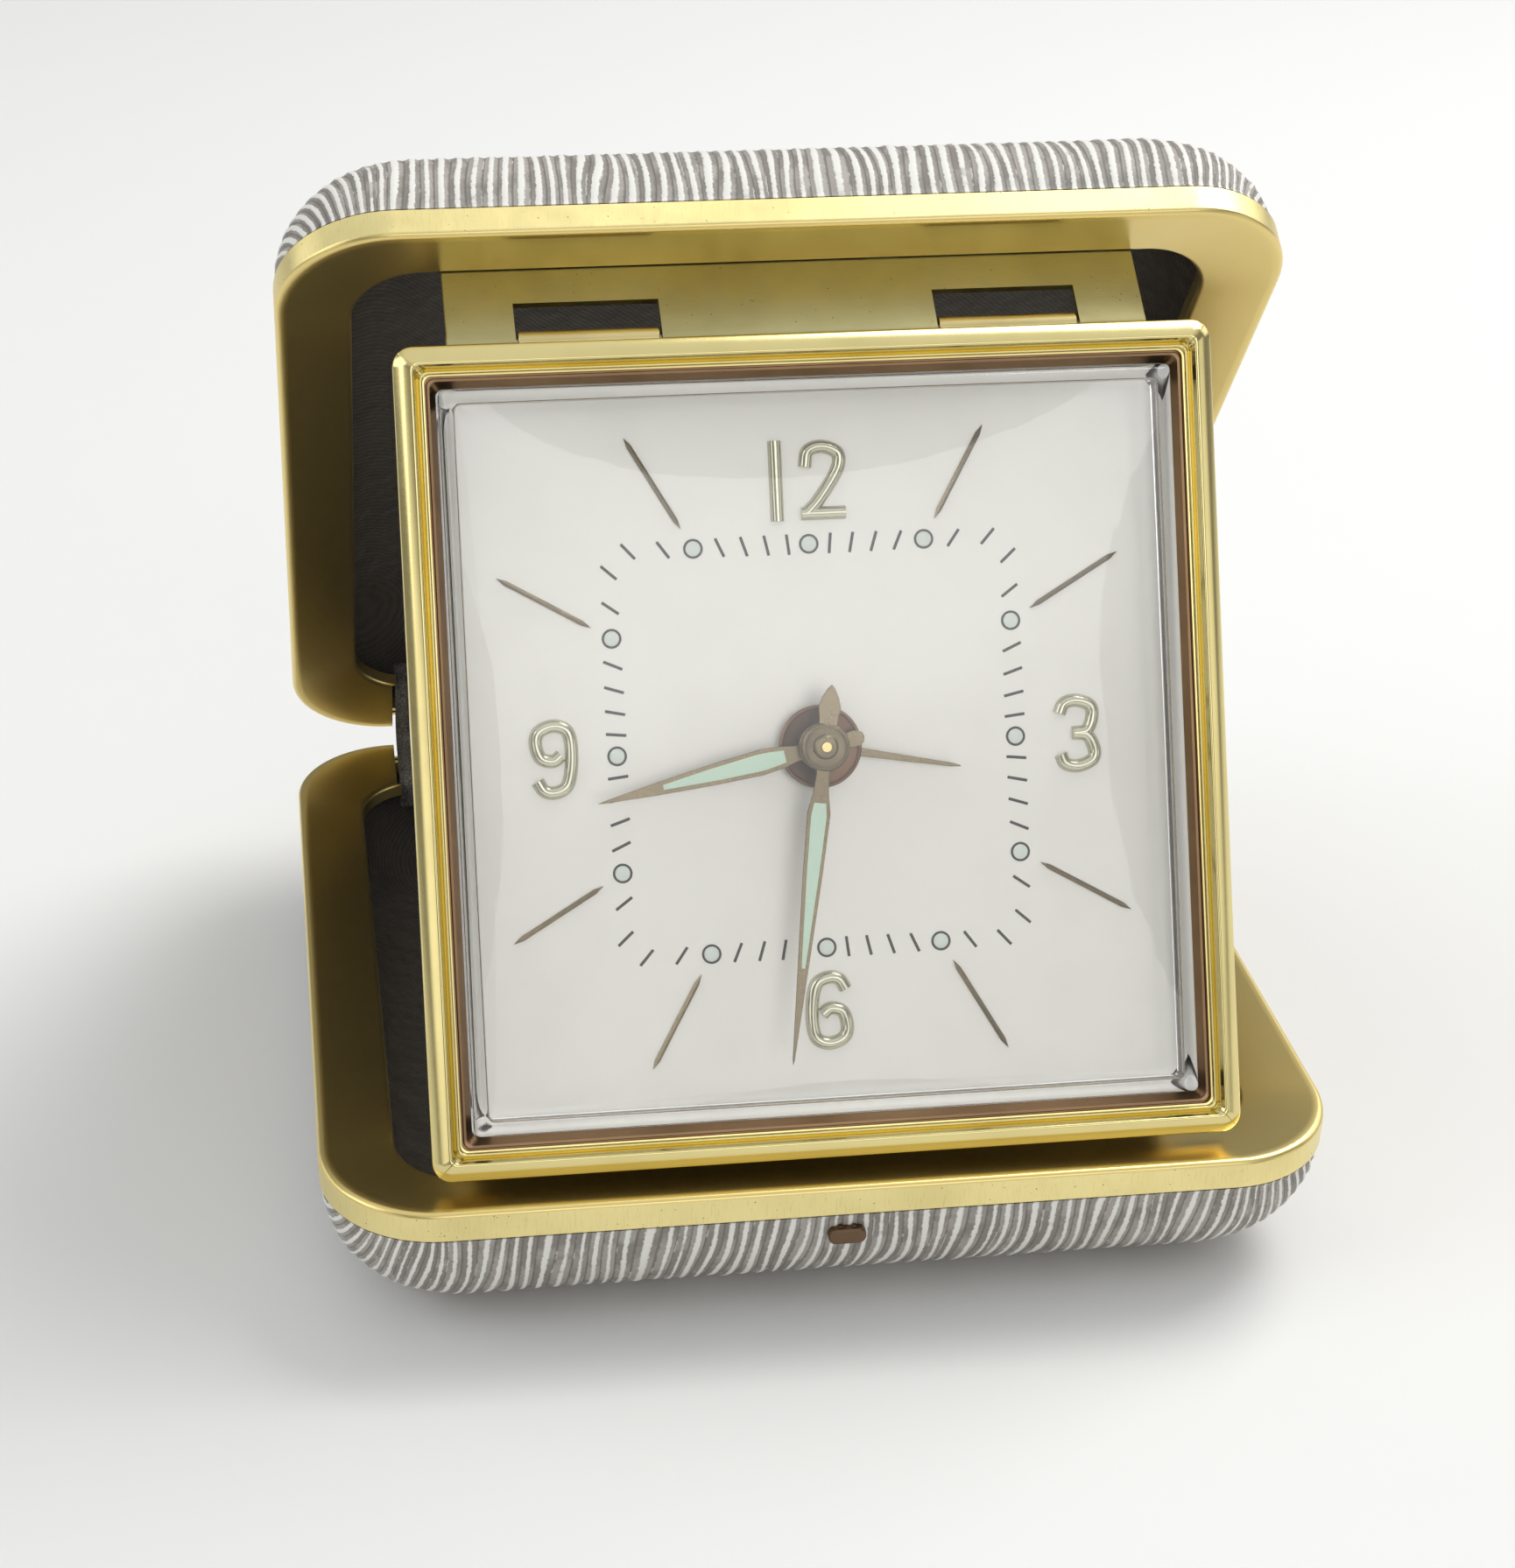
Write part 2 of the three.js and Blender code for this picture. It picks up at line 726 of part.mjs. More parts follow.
function caseLeaf(own) {
  const shelfBottom = -knuckleRadius;
  const shelfTop = shelfBottom + leafSheet;
  const legInner = hingeSetback + coverInset + liningOuter + leafSheet;
  const half = hingeLength / 2;
  const shelf = block(-half, half, 0, legInner, shelfBottom, shelfTop);
  const leg = block(-half, half, legInner - leafSheet, legInner, shelfBottom - leafLeg, shelfTop);
  const knuckles = own.map((index) => crossRod(knuckleRadius, ...hingeSegment(index), 0, 0));
  const all = Array.from({ length: hingeKnuckles }, (_, index) => index);
  const others = all.filter((index) => !own.includes(index));
  const room = others.map((index) => {
    const [start, end] = hingeSegment(index);
    const edge = knuckleRadius + knuckleGap;
    return block(start - knuckleGap, end + knuckleGap, -edge, edge, -edge, edge);
  });
  const bore = crossRod(hingePinRadius + pinClearance, -half - cutMargin, half + cutMargin, 0, 0);
  return cut(joined(shelf, leg), ...room).add(joined(...knuckles)).subtract(bore);
}

function hingeStrip() {
  const top = -stripBelowCrest - stripSheet / 2;
  const start = knuckleRadius + knuckleGap + coverInset;
  const hang = hingeSetback + lipInset - stripSheet / 2;
  const line = [
    [start, top],
    [hingeSetback + coverInset + liningOuter + leafSheet, top],
    [hingeSetback + flangeWidth - stripSheet, top - flangeDrop],
    [hang, top - flangeDrop - stripSheet],
    [hang, -flangeDrop - lipDrop - stripHang],
  ].map(([y, z]) => new THREE.Vector2(y, z));
  return bar(ribbonShape(line, stripSheet), -stripWidth / 2, stripWidth / 2);
}

function buildTray(parent, prefix, own) {
  const rim = rimSolid().subtract(hingeNotch());
  const layers = {
    cover: trayLayer(0, coverSheet, bandHeight + layerGap),
    shell: trayLayer(shellOuter, shellSheet, shellTop),
    lining: trayLayer(liningOuter, liningSheet, liningTop),
  };
  piece(parent, `${prefix}_hinge_leaf`, caseLeaf(own), paleBrass());
  piece(parent, `${prefix}_hinge_strip`, hingeStrip(), fabric());
  return { rim, ...layers };
}

// Lower tray, with the spring catch
function buildLowerCase() {
  const { rim, cover, shell, lining } = buildTray(lowerCase, 'lower', [0, 2, 4]);
  piece(lowerCase, 'lower_rim', rim, brass());
  piece(lowerCase, 'lower_cover', cover.subtract(catchHole()), vinyl());
  piece(lowerCase, 'lower_shell', shell.subtract(catchHole()), steel());
  piece(lowerCase, 'lower_lining', lining.subtract(catchHole()), fabric());
  const pinEnd = hingeLength / 2;
  piece(lowerCase, 'case_hinge_pin', crossRod(hingePinRadius, -pinEnd, pinEnd, 0, 0), steel());

  const latchFront = trayFront - latchInset;
  const latchBack = latchFront - latchSheet;
  const buttonFront = trayFront - wallInset(0, catchBelowCrest) + catchProud;
  const buttonHalf = catchWidth / 2;
  const latchHalf = latchWidth / 2;
  const button = block(
    -buttonHalf, buttonHalf, latchBack, buttonFront,
    -catchBelowCrest - catchHeight / 2, -catchBelowCrest + catchHeight / 2);
  const latch = block(-latchHalf, latchHalf, latchBack, latchFront, -latchBottom, -latchNose);
  piece(lowerCase, 'catch_button', button.add(latch), bronze());

  const bow = latchBack - catchTravel - springRoom;
  const foot = latchFront - catchClearance;
  const bend = latchHalf + springRoom;
  const rise = foot - bow;
  const line = [
    [-bend - rise - springFoot, foot], [-bend - rise, foot], [-bend, bow],
    [bend, bow], [bend + rise, foot], [bend + rise + springFoot, foot],
  ].map(([x, y]) => new THREE.Vector2(x, y));
  const spring = slab(
    ribbonShape(line, springSheet), catchBelowCrest - springHeight / 2, catchBelowCrest + springHeight / 2);
  piece(lowerCase, 'catch_spring', spring, steel());
}

// Upper tray, with the keeper for the catch and the plate that carries the clock
function buildUpperCase() {
  const { rim, cover, shell, lining } = buildTray(upperCase, 'upper', [1, 3]);
  const plateFront = plateFromHinge + clockKnuckleRadius;
  const plateBack = plateFront - plateSheet;
  const half = plateWidth / 2;
  const room = block(
    -half - slotGap, half + slotGap, plateBack - cutMargin, plateFront + slotGap,
    -plateDepth - cutMargin, cutMargin);
  piece(upperCase, 'upper_rim', rim.subtract(room), brass());
  piece(upperCase, 'upper_cover', cover, vinyl());
  piece(upperCase, 'upper_shell', shell, steel());
  piece(upperCase, 'upper_lining', lining, fabric());

  const keeperBack = trayFront - liningInset - latchSheet;
  const keeperTop = -flangeDrop - rimSheet - slotGap;
  const keeper = block(
    -latchWidth / 2, latchWidth / 2, keeperBack, keeperBack + latchSheet - layerGap,
    keeperTop - keeperDepth, keeperTop);
  piece(upperCase, 'catch_keeper', keeper, steel());

  const leg = block(-half, half, plateBack, plateFront, -plateDepth, plateRise);
  const foot = block(-half, half, plateBack, plateBack + plateFoot, -plateDepth, -plateDepth + plateSheet);
  const knuckles = crossRod(clockKnuckleRadius, -half, half, plateFromHinge, plateRise);
  const bore = crossRod(
    clockPinRadius + pinClearance, -half - cutMargin, half + cutMargin, plateFromHinge, plateRise);
  const reach = clockKnuckleRadius + slotGap;
  const slots = [-1, 1].map((sideSign) => {
    const inner = sideSign * (half - plateEar - plateSlot);
    const outer = sideSign * (half - plateEar);
    return block(
      Math.min(inner, outer), Math.max(inner, outer), plateFromHinge - reach, plateFront + cutMargin,
      plateRise - plateSlotTop, plateRise + reach);
  });
  const rivetPlace = plateBack + plateFoot / 2 + plateSheet;
  const rivetTop = -flangeDrop - rimSheet - slotGap;
  const rivetHoles = [-1, 1].map((sideSign) => rod(
    rivetRadius + pinClearance, plateDepth - plateSheet - cutMargin, plateDepth + cutMargin,
    new THREE.Vector2(sideSign * rivetSpread, rivetPlace)));
  const hingePlate = cut(joined(leg, foot, knuckles), bore, ...slots, ...rivetHoles);
  piece(upperCase, 'hinge_plate', hingePlate, paleBrass());
  const rivets = [-1, 1].map((sideSign) => {
    const place = new THREE.Vector2(sideSign * rivetSpread, rivetPlace);
    const headNear = plateDepth + layerGap;
    return rod(rivetRadius, -rivetTop, headNear, place).add(
      rod(rivetHeadRadius, headNear, headNear + rivetHeadHeight, place));
  });
  piece(upperCase, 'plate_rivet_left', rivets[0], steel());
  piece(upperCase, 'plate_rivet_right', rivets[1], steel());
  const clockPin = crossRod(clockPinRadius, -half, half, plateFromHinge, plateRise);
  piece(upperCase, 'clock_hinge_pin', clockPin, steel());
}

// Bezel, crystal and housing
const facePlan = plan(0, headHalfX, headHalfY, headCornerRadius, 1);
const seatDepth = beadHeight + bezelSheet + seatClearance;
const seatBottom = seatDepth + 2 * bezelSheet;
const footTop = seatBottom + seatClearance;
const flangeTop = footTop + footSheet + seatClearance;
const hingeAxisY = headHalfY + pinAboveBezel;

function bezelSolid() {
  const bead = Array.from({ length: beadSteps + 1 }, (_, step) => {
    const angle = step / beadSteps * Math.PI;
    return [beadWidth / 2 * (1 - Math.cos(angle)), -beadHeight * (1 - Math.sin(angle))];
  });
  return frameOf(facePlan, [
    [skirtStep, -bezelBack],
    [skirtStep, -bezelShoulder],
    [0, -bezelShoulder],
    ...bead,
    [beadWidth + bezelGroove / 2, -beadHeight - bezelGroove],
    [beadWidth + bezelGroove, -beadHeight],
    [bezelLand, -beadHeight],
    [bezelLand, -beadHeight - bezelSheet],
    [skirtStep + bezelSheet, -beadHeight - bezelSheet],
    [skirtStep + bezelSheet, -bezelBack],
  ]);
}

function innerFrameSolid() {
  const top = beadHeight + seatClearance;
  const outer = bezelLand + seatClearance;
  const inner = crystalInset - seatClearance;
  const hidden = skirtStep + bezelSheet + seatClearance;
  return frameOf(facePlan, [
    [outer, -top],
    [inner, -top - seatSlope],
    [inner, -seatBottom],
    [hidden, -seatBottom],
    [hidden, -seatDepth],
    [outer, -seatDepth],
  ]);
}

function crystalSolid() {
  const outline = plan(0, headHalfX - crystalInset, headHalfY - crystalInset, crystalCornerRadius, 0);
  const reach = Math.min(outline.halfX, outline.halfY);
  const middle = reach - domeMiddle;
  const dome = (inset, rise) => rise * (1 - (1 - inset / reach) ** 2);
  const shares = Array.from({ length: domeSteps + 1 }, (_, step) => (step / domeSteps) ** domeSpacing);
  const insets = shares.map((share) => middle * share);
  const inner = insets.map((inset) => [
    Math.min(crystalWall + inset, middle), dome(inset, crystalDome) - crystalSheet]).reverse();
  const outer = insets.map((inset) => [inset, dome(inset, crystalDome)]);
  return cupOf(outline, [
    ...inner,
    [crystalWall, -footTop - footSheet],
    [-crystalFoot, -footTop - footSheet],
    [-crystalFoot, -footTop],
    [0, -footTop],
    ...outer,
  ]);
}

function housingSolid() {
  const outline = plan(0, housingHalfX, housingHalfY, housingCornerRadius, 1);
  const rounding = (offset) => Array.from({ length: housingSteps + 1 }, (_, step) => {
    const angle = step / housingSteps * Math.PI / 2;
    return [
      offset + (housingRounding - offset) * (1 - Math.cos(angle)),
      -(housingBack - housingRounding) - (housingRounding - offset) * Math.sin(angle),
    ];
  });
  return cupOf(outline, [
    ...rounding(housingSheet).reverse(),
    [housingSheet, -flangeTop],
    [-housingFlange, -flangeTop],
    [-housingFlange, -flangeTop - housingFlangeSheet],
    [0, -flangeTop - housingFlangeSheet],
    ...rounding(0),
  ]);
}

function stopSlot() {
  const half = stopStem / 2 + boreClearance;
  return block(
    stopPlace.x - half, stopPlace.x + stopTravel + half, stopPlace.y - half, stopPlace.y + half,
    -housingBack - cutMargin, -housingInside + cutMargin);
}

function regulatorSlot() {
  const tip = along(balancePlace, regulatorLength, regulatorDirection);
  const along90 = regulatorDirection + Math.PI / 2;
  const reach = regulatorLength * Math.sin(regulatorSwing) + regulatorWidth;
  const geometry = new THREE.BoxGeometry(2 * regulatorWidth, 2 * reach, 4 * housingSheet);
  geometry.rotateZ(along90 - Math.PI / 2);
  geometry.translate(tip.x, tip.y, -housingBack + housingSheet / 2);
  return solidOf(geometry);
}

function buildHead() {
  piece(face, 'bezel', bezelSolid(), brass());
  piece(face, 'inner_frame', innerFrameSolid(), bronze());
  piece(face, 'crystal', crystalSolid(), clear());

  const through = (radius, place) => rod(
    radius + boreClearance, housingInside - cutMargin, housingBack + cutMargin, place);
  const openings = [
    through(barrelArborRadius, barrelPlace), through(barrelArborRadius, alarmBarrelPlace),
    through(stemRadius, timeSetPlace), through(stemRadius, alarmSetPlace),
    ...pillarPlaces.map((place) => through(screwRadius, place)),
    stopSlot(), regulatorSlot(),
  ];
  piece(face, 'rear_housing', cut(housingSolid(), ...openings), steel());

  const leafBottom = housingHalfY + layerGap;
  const leafTop = leafBottom + bezelSheet;
  const webBack = -pinBehindFace - clockKnuckleRadius;
  const half = plateWidth / 2 - plateEar - slotGap;
  const leaf = block(-half, half, leafBottom, leafTop, webBack - clockLeafReach, webBack);
  const tabs = [-1, 1].map((sideSign) => {
    const inner = sideSign * (plateWidth / 2 - plateEar - plateSlot + slotGap);
    const outer = sideSign * half;
    const [x0, x1] = [Math.min(inner, outer), Math.max(inner, outer)];
    return block(x0, x1, leafBottom, hingeAxisY, webBack - bezelSheet / 2, webBack + bezelSheet).add(
      crossRod(clockKnuckleRadius, x0, x1, hingeAxisY, -pinBehindFace));
  });
  const bore = crossRod(
    clockPinRadius + pinClearance, -half - cutMargin, half + cutMargin, hingeAxisY, -pinBehindFace);
  piece(face, 'clock_hinge_leaf', joined(leaf, ...tabs).subtract(bore), paleBrass());
}

// A numeral's stroke as a smooth line through the given points
function bentLine(points) {
  return new THREE.CatmullRomCurve3(points.map(([x, y]) => new THREE.Vector3(x, y, 0))).getPoints(
    points.length * numeralSteps).map((point) => new THREE.Vector2(point.x, point.y));
}

// Each stroke is given by places on a grid from -1 to 1 across and up the numeral's middle line
function numeralShapes() {
  const halfWidth = (numeralWidth - numeralStroke) / 2;
  const halfHeight = (numeralHeight - numeralStroke) / 2;
  const drawn = (points) => bentLine(points.map(([x, y]) => [x * halfWidth, y * halfHeight]));
  const straight = (points) => points.map(([x, y]) => new THREE.Vector2(x, y));
  const end = halfHeight + numeralStroke / 2;
  const one = straight([[-numeralGap, -end], [-numeralGap, end]]);
  const two = [...drawn(twoCurve), new THREE.Vector2(halfWidth + numeralStroke / 2, -halfHeight)].map(
    (point) => point.add(new THREE.Vector2(halfWidth, 0)));
  const six = drawn(sixCurve);
  const nine = six.map((point) => point.clone().negate());
  return {
    twelve: [ribbonShape(one, numeralStroke), ribbonShape(two, numeralStroke)],
    three: [ribbonShape(drawn(threeCurve), numeralStroke)],
    six: [ribbonShape(six, numeralStroke)],
    nine: [ribbonShape(nine, numeralStroke)],
  };
}

// Distance of a dot from the centre, on a square track with cut corners
function trackRadius(angle) {
  const track = dialReach - dotInset;
  return Math.min(track / Math.max(Math.abs(Math.cos(angle)), Math.abs(Math.sin(angle))), track + dotSpread);
}

function buildDial() {
  const outline = plan(0, dialHalfX, dialHalfY, housingCornerRadius - housingSheet, 1);
  const sheet = cupOf(outline, [[0, -dialDepth - dialSheet], [0, -dialDepth]]);
  const feet = [[1, 1], [-1, -1]].map(([x, y]) => rod(
    dialFootRadius, dialDepth + dialSheet / 2, frontPlateDepth - seatClearance,
    new THREE.Vector2(x * dialFootSpread, y * dialFootSpread)));
  const hole = rod(dialHole, dialDepth - cutMargin, dialDepth + cutMargin);
  const raised = (shape, x, y, thickness) => slab(
    shape, dialDepth - thickness, dialDepth + dialSheet / 2).translate([x, y, 0]);
  const shapes = numeralShapes();
  const numerals = [
    ...shapes.twelve.map((shape) => raised(shape, 0, dialHalfY - numeralInset, numeralSheet)),
    ...shapes.three.map((shape) => raised(shape, dialHalfX - numeralInset, 0, numeralSheet)),
    ...shapes.six.map((shape) => raised(shape, 0, numeralInset - dialHalfY, numeralSheet)),
    ...shapes.nine.map((shape) => raised(shape, numeralInset - dialHalfX, 0, numeralSheet)),
  ];

  const hours = Array.from({ length: hoursRound }, (_, hour) => hour);
  const barInner = barOuter - barLength;
  const barShape = outlineShape([
    [0, barInner], [barWidth / 2, barInner + barWidth], [barWidth / 2, barOuter - barWidth],
    [0, barOuter], [-barWidth / 2, barOuter - barWidth], [-barWidth / 2, barInner + barWidth]]);
  const bars = hours.filter((hour) => hour % quarter !== 0).map((hour) => raised(
    barShape, 0, 0, barSheet).rotate([0, 0, -hour * 360 / hoursRound]));
  const dots = hours.map((hour) => {
    const angle = hour / hoursRound * fullTurn;
    const place = along(centre, trackRadius(angle), angle);
    return rod(dotRadius, dialDepth - dotSheet, dialDepth + dialSheet / 2, place, dotSides);
  });
  piece(face, 'dial', joined(sheet, ...feet, ...numerals, ...bars, ...dots).subtract(hole), dialSilver());
}

// Hands, and the wheels that carry them
function handShape(length, tail, width) {
  const half = width / 2;
  const side = (sign) => [
    [sign * half * bladeWaist, 0], [sign * half, length * bladeBelly]];
  const tailSide = (sign) => [sign * half * tailWidth, -tail * tailBelly];
  return outlineShape([
    [0, length], ...side(-1).reverse(), tailSide(-1), [0, -tail], tailSide(1), ...side(1)]);
}

function hand(shape, hubRadius, boreRadius, height, reading) {
  const near = dialDepth - height - handSheet;
  const far = dialDepth - height;
  const blade = slab(shape, near, far).rotate([0, 0, -THREE.MathUtils.radToDeg(reading)]);
  const bore = rod(boreRadius + runningGap, near - cutMargin, far + cutMargin);
  return blade.add(rod(hubRadius, near, far)).subtract(bore);
}

function buildHands() {
  const pipeEnd = (height) => dialDepth - height - handSheet - pipeGap;
  const alarmPoint = outlineShape([
    [-alarmHandWidth / 2, 0], [-alarmHandWidth / 4, alarmHandLength], [alarmHandWidth / 4, alarmHandLength],
    [alarmHandWidth / 2, 0], [alarmHandWidth / 2, -alarmHandTail], [-alarmHandWidth / 2, -alarmHandTail]]);
  piece(face, 'alarm_hand', hand(
    alarmPoint, alarmDiscRadius, alarmPipeRadius, alarmHandHeight, alarmReading), darkSteel());
  piece(face, 'hour_hand', hand(
    handShape(dialReach - hourHandInset, hourHandTail, hourHandWidth), handHubRadius, hourPipeRadius,
    hourHandHeight, hourReading), paleBrass());
  piece(face, 'minute_hand', hand(
    handShape(dialReach - minuteHandInset, minuteHandTail, minuteHandWidth), handHubRadius, cannonRadius,
    minuteHandHeight, minuteReading), paleBrass());

  const alarmWheel = gear(alarmWheelTeeth, alarmModule, 0, alarmWheelDepth, alarmWheelDepth + wheelSheet);
  piece(face, 'alarm_wheel', joined(
    alarmWheel, rod(alarmPipeRadius, pipeEnd(alarmHandHeight), alarmWheelDepth + wheelSheet)).subtract(
    rod(hourPipeRadius + runningGap, 0, frontPlateDepth)), brass());
  const hourPhase = 0;
  const hourWheel = gear(hourWheelTeeth, hourModule, hourPhase, hourWheelDepth, hourWheelDepth + wheelSheet);
  piece(face, 'hour_wheel', joined(
    hourWheel, rod(hourPipeRadius, pipeEnd(hourHandHeight), hourWheelDepth + wheelSheet)).subtract(
    rod(cannonRadius + runningGap, 0, frontPlateDepth)), brass());
  const cannonEnd = frontPlateDepth - seatClearance;
  const cannonPinion = gear(cannonTeeth, minuteModule, 0, minuteWheelDepth - seatClearance, cannonEnd);
  piece(face, 'cannon_pinion', joined(
    cannonPinion, rod(cannonRadius, pipeEnd(minuteHandHeight), cannonEnd)).subtract(
    rod(centreArborRadius + runningGap, 0, frontPlateDepth)), steel());

  const minutePhase = meshedPhase(0, cannonTeeth, minuteWheelTeeth, minuteWheelDirection);
  const pinionPhase = meshedPhase(hourPhase, hourWheelTeeth, minutePinionTeeth, minuteWheelDirection);
  const minuteWheel = joined(
    gear(minuteWheelTeeth, minuteModule, minutePhase, minuteWheelDepth, minuteWheelDepth + wheelSheet),
    gear(minutePinionTeeth, hourModule, pinionPhase, hourWheelDepth, minuteWheelDepth + wheelSheet / 2),
    rod(arborRadius, hourWheelDepth - runningGap, frontPlateBack - seatClearance));
  piece(face, 'minute_wheel', moved(minuteWheel, minuteWheelPlace), brass());
  return { minutePhase };
}

// Setting stems and knobs at the back
function knobSolid(place) {
  const near = housingBack + backClearance;
  const outline = toothedShape(knobRidges, knobRadius, knobRadius - knobRidgeDepth, 0);
  return moved(slab(outline, near, near + knobHeight), place);
}

function buildSetting({ minutePhase }) {
  const stemEnd = housingBack + backClearance + knobHeight / 2;
  const timePhase = meshedPhase(minutePhase, minuteWheelTeeth, setPinionTeeth, timeSetDirection);
  const timeStem = joined(
    gear(setPinionTeeth, minuteModule, timePhase,
      minuteWheelDepth - seatClearance, frontPlateDepth - seatClearance),
    rod(stemRadius, minuteWheelDepth - seatClearance, stemEnd));
  piece(face, 'time_set_knob', moved(timeStem, timeSetPlace).add(knobSolid(timeSetPlace)), brass());
  const alarmPhase = meshedPhase(0, alarmWheelTeeth, alarmPinionTeeth, alarmSetDirection);
  const alarmStem = joined(
    gear(alarmPinionTeeth, alarmModule, alarmPhase,
      alarmWheelDepth - runningGap, alarmWheelDepth + wheelSheet),
    rod(stemRadius, alarmWheelDepth, stemEnd));
  piece(face, 'alarm_set_knob', moved(alarmStem, alarmSetPlace).add(knobSolid(alarmSetPlace)), brass());
}

// An arbor between the plates: its pivots run in both
function arbor() {
  return rod(
    arborRadius, frontPlateDepth + seatClearance, backPlateBack - seatClearance, centre, pivotSides);
}

function buildTrain() {
  const greatPhase = 0;
  const centrePinionPhase = meshedPhase(
    greatPhase, barrelTeeth, centrePinionTeeth, barrelDirection + Math.PI);
  const centreWheel = joined(
    gear(centreTeeth, centreModule, 0, level(centreWheelLevel), level(centreWheelLevel + wheelSheet)),
    gear(centrePinionTeeth, barrelModule, centrePinionPhase,
      level(centrePinionLevel), level(centrePinionLevel + pinionWidth)),
    rod(centreArborRadius, dialDepth - arborTopHeight, backPlateBack - seatClearance));
  piece(face, 'centre_wheel', centreWheel, brass());

  const thirdPhase = meshedPhase(0, centreTeeth, thirdPinionTeeth, thirdDirection);
  const thirdWheel = joined(
    gear(thirdTeeth, thirdModule, thirdPhase, level(thirdWheelLevel), level(thirdWheelLevel + wheelSheet)),
    gear(thirdPinionTeeth, centreModule, thirdPhase,
      level(thirdPinionLevel), level(thirdPinionLevel + pinionWidth)),
    arbor());
  piece(face, 'third_wheel', moved(thirdWheel, thirdPlace), brass());

  const fourthPhase = meshedPhase(thirdPhase, thirdTeeth, fourthPinionTeeth, fourthDirection);
  const fourthWheel = joined(
    gear(fourthTeeth, fourthModule, fourthPhase,
      level(fourthWheelLevel), level(fourthWheelLevel + wheelSheet)),
    gear(fourthPinionTeeth, thirdModule, fourthPhase,
      level(fourthPinionLevel), level(fourthPinionLevel + pinionWidth)),
    arbor());
  piece(face, 'fourth_wheel', moved(fourthWheel, fourthPlace), brass());

  const escapePhase = meshedPhase(fourthPhase, fourthTeeth, escapePinionTeeth, escapeDirection);
  const escapeWheel = joined(
    ratchet(escapeTeeth, escapeRadius, escapeToothDepth,
      level(escapeWheelLevel), level(escapeWheelLevel + wheelSheet)),
    gear(escapePinionTeeth, fourthModule, escapePhase,
      level(escapePinionLevel), level(escapePinionLevel + pinionWidth)),
    arbor());
  piece(face, 'escape_wheel', moved(escapeWheel, escapePlace), brass());
}

function barrelSolid(teeth, radius) {
  const near = level(greatWheelLevel);
  const far = level(drumLevel + drumHeight);
  const drum = joined(
    gear(teeth, barrelModule, 0, near, level(greatWheelLevel + wheelSheet)),
    rod(radius, near, far, centre, drumSides));
  return cut(
    drum, rod(radius - drumWall, level(greatWheelLevel + wheelSheet), far + cutMargin, centre, drumSides),
    rod(barrelArborRadius + runningGap, near - cutMargin, far + cutMargin));
}

function windingArbor() {
  return rod(
    barrelArborRadius, frontPlateDepth + seatClearance, housingBack + backClearance + keyHeight / 2);
}

function keySolid(place) {
  const near = housingBack + backClearance;
  const far = near + keyHeight;
  const wing = block(-keyLength / 2, keyLength / 2, -keySheet / 2, keySheet / 2, -far, -near);
  const bore = rod(barrelArborRadius + runningGap, near - cutMargin, near + keyHeight * keyBoreShare);
  return moved(joined(wing, rod(keyHubRadius, near, far)).subtract(bore), place);
}

function mainspring(turns, start) {
  const shape = spiralShape(mainspringInner, mainspringPitch, turns, mainspringSheet, start);
  const near = level(greatWheelLevel + wheelSheet) + backClearance;
  return slab(shape, near, level(drumLevel + drumHeight) - backClearance);
}

function buildBarrels() {
  piece(face, 'time_barrel', moved(barrelSolid(barrelTeeth, drumRadius), barrelPlace), brass());
  piece(face, 'time_mainspring', moved(mainspring(mainspringTurns, 0), barrelPlace), darkSteel());
  piece(face, 'time_winding_arbor', moved(windingArbor(), barrelPlace), steel());
  piece(face, 'time_key', keySolid(barrelPlace), brass());
  const alarmBarrel = barrelSolid(alarmBarrelTeeth, alarmDrumRadius);
  piece(face, 'alarm_barrel', moved(alarmBarrel, alarmBarrelPlace), brass());
  piece(face, 'alarm_mainspring', moved(mainspring(alarmMainspringTurns, 0), alarmBarrelPlace), darkSteel());
  piece(face, 'alarm_winding_arbor', moved(windingArbor(), alarmBarrelPlace), steel());
  piece(face, 'alarm_key', keySolid(alarmBarrelPlace), brass());

  const strikePhase = meshedPhase(0, alarmBarrelTeeth, strikePinionTeeth, strikeDirection);
  const strikeWheel = joined(
    ratchet(strikeTeeth, strikeRadius, strikeToothDepth,
      level(strikeWheelLevel), level(strikeWheelLevel + wheelSheet)),
    gear(strikePinionTeeth, barrelModule, strikePhase,
      level(strikePinionLevel), level(strikePinionLevel + pinionWidth)),
    arbor());
  piece(face, 'strike_wheel', moved(strikeWheel, strikePlace), brass());
}

// A straight arm from one place to another
function arm(from, to, width, near, far) {
  const length = from.distanceTo(to);
  const geometry = new THREE.BoxGeometry(length, width, far - near);
  geometry.rotateZ(Math.atan2(to.y - from.y, to.x - from.x));
  geometry.translate((from.x + to.x) / 2, (from.y + to.y) / 2, -(near + far) / 2);
  return solidOf(geometry);
}

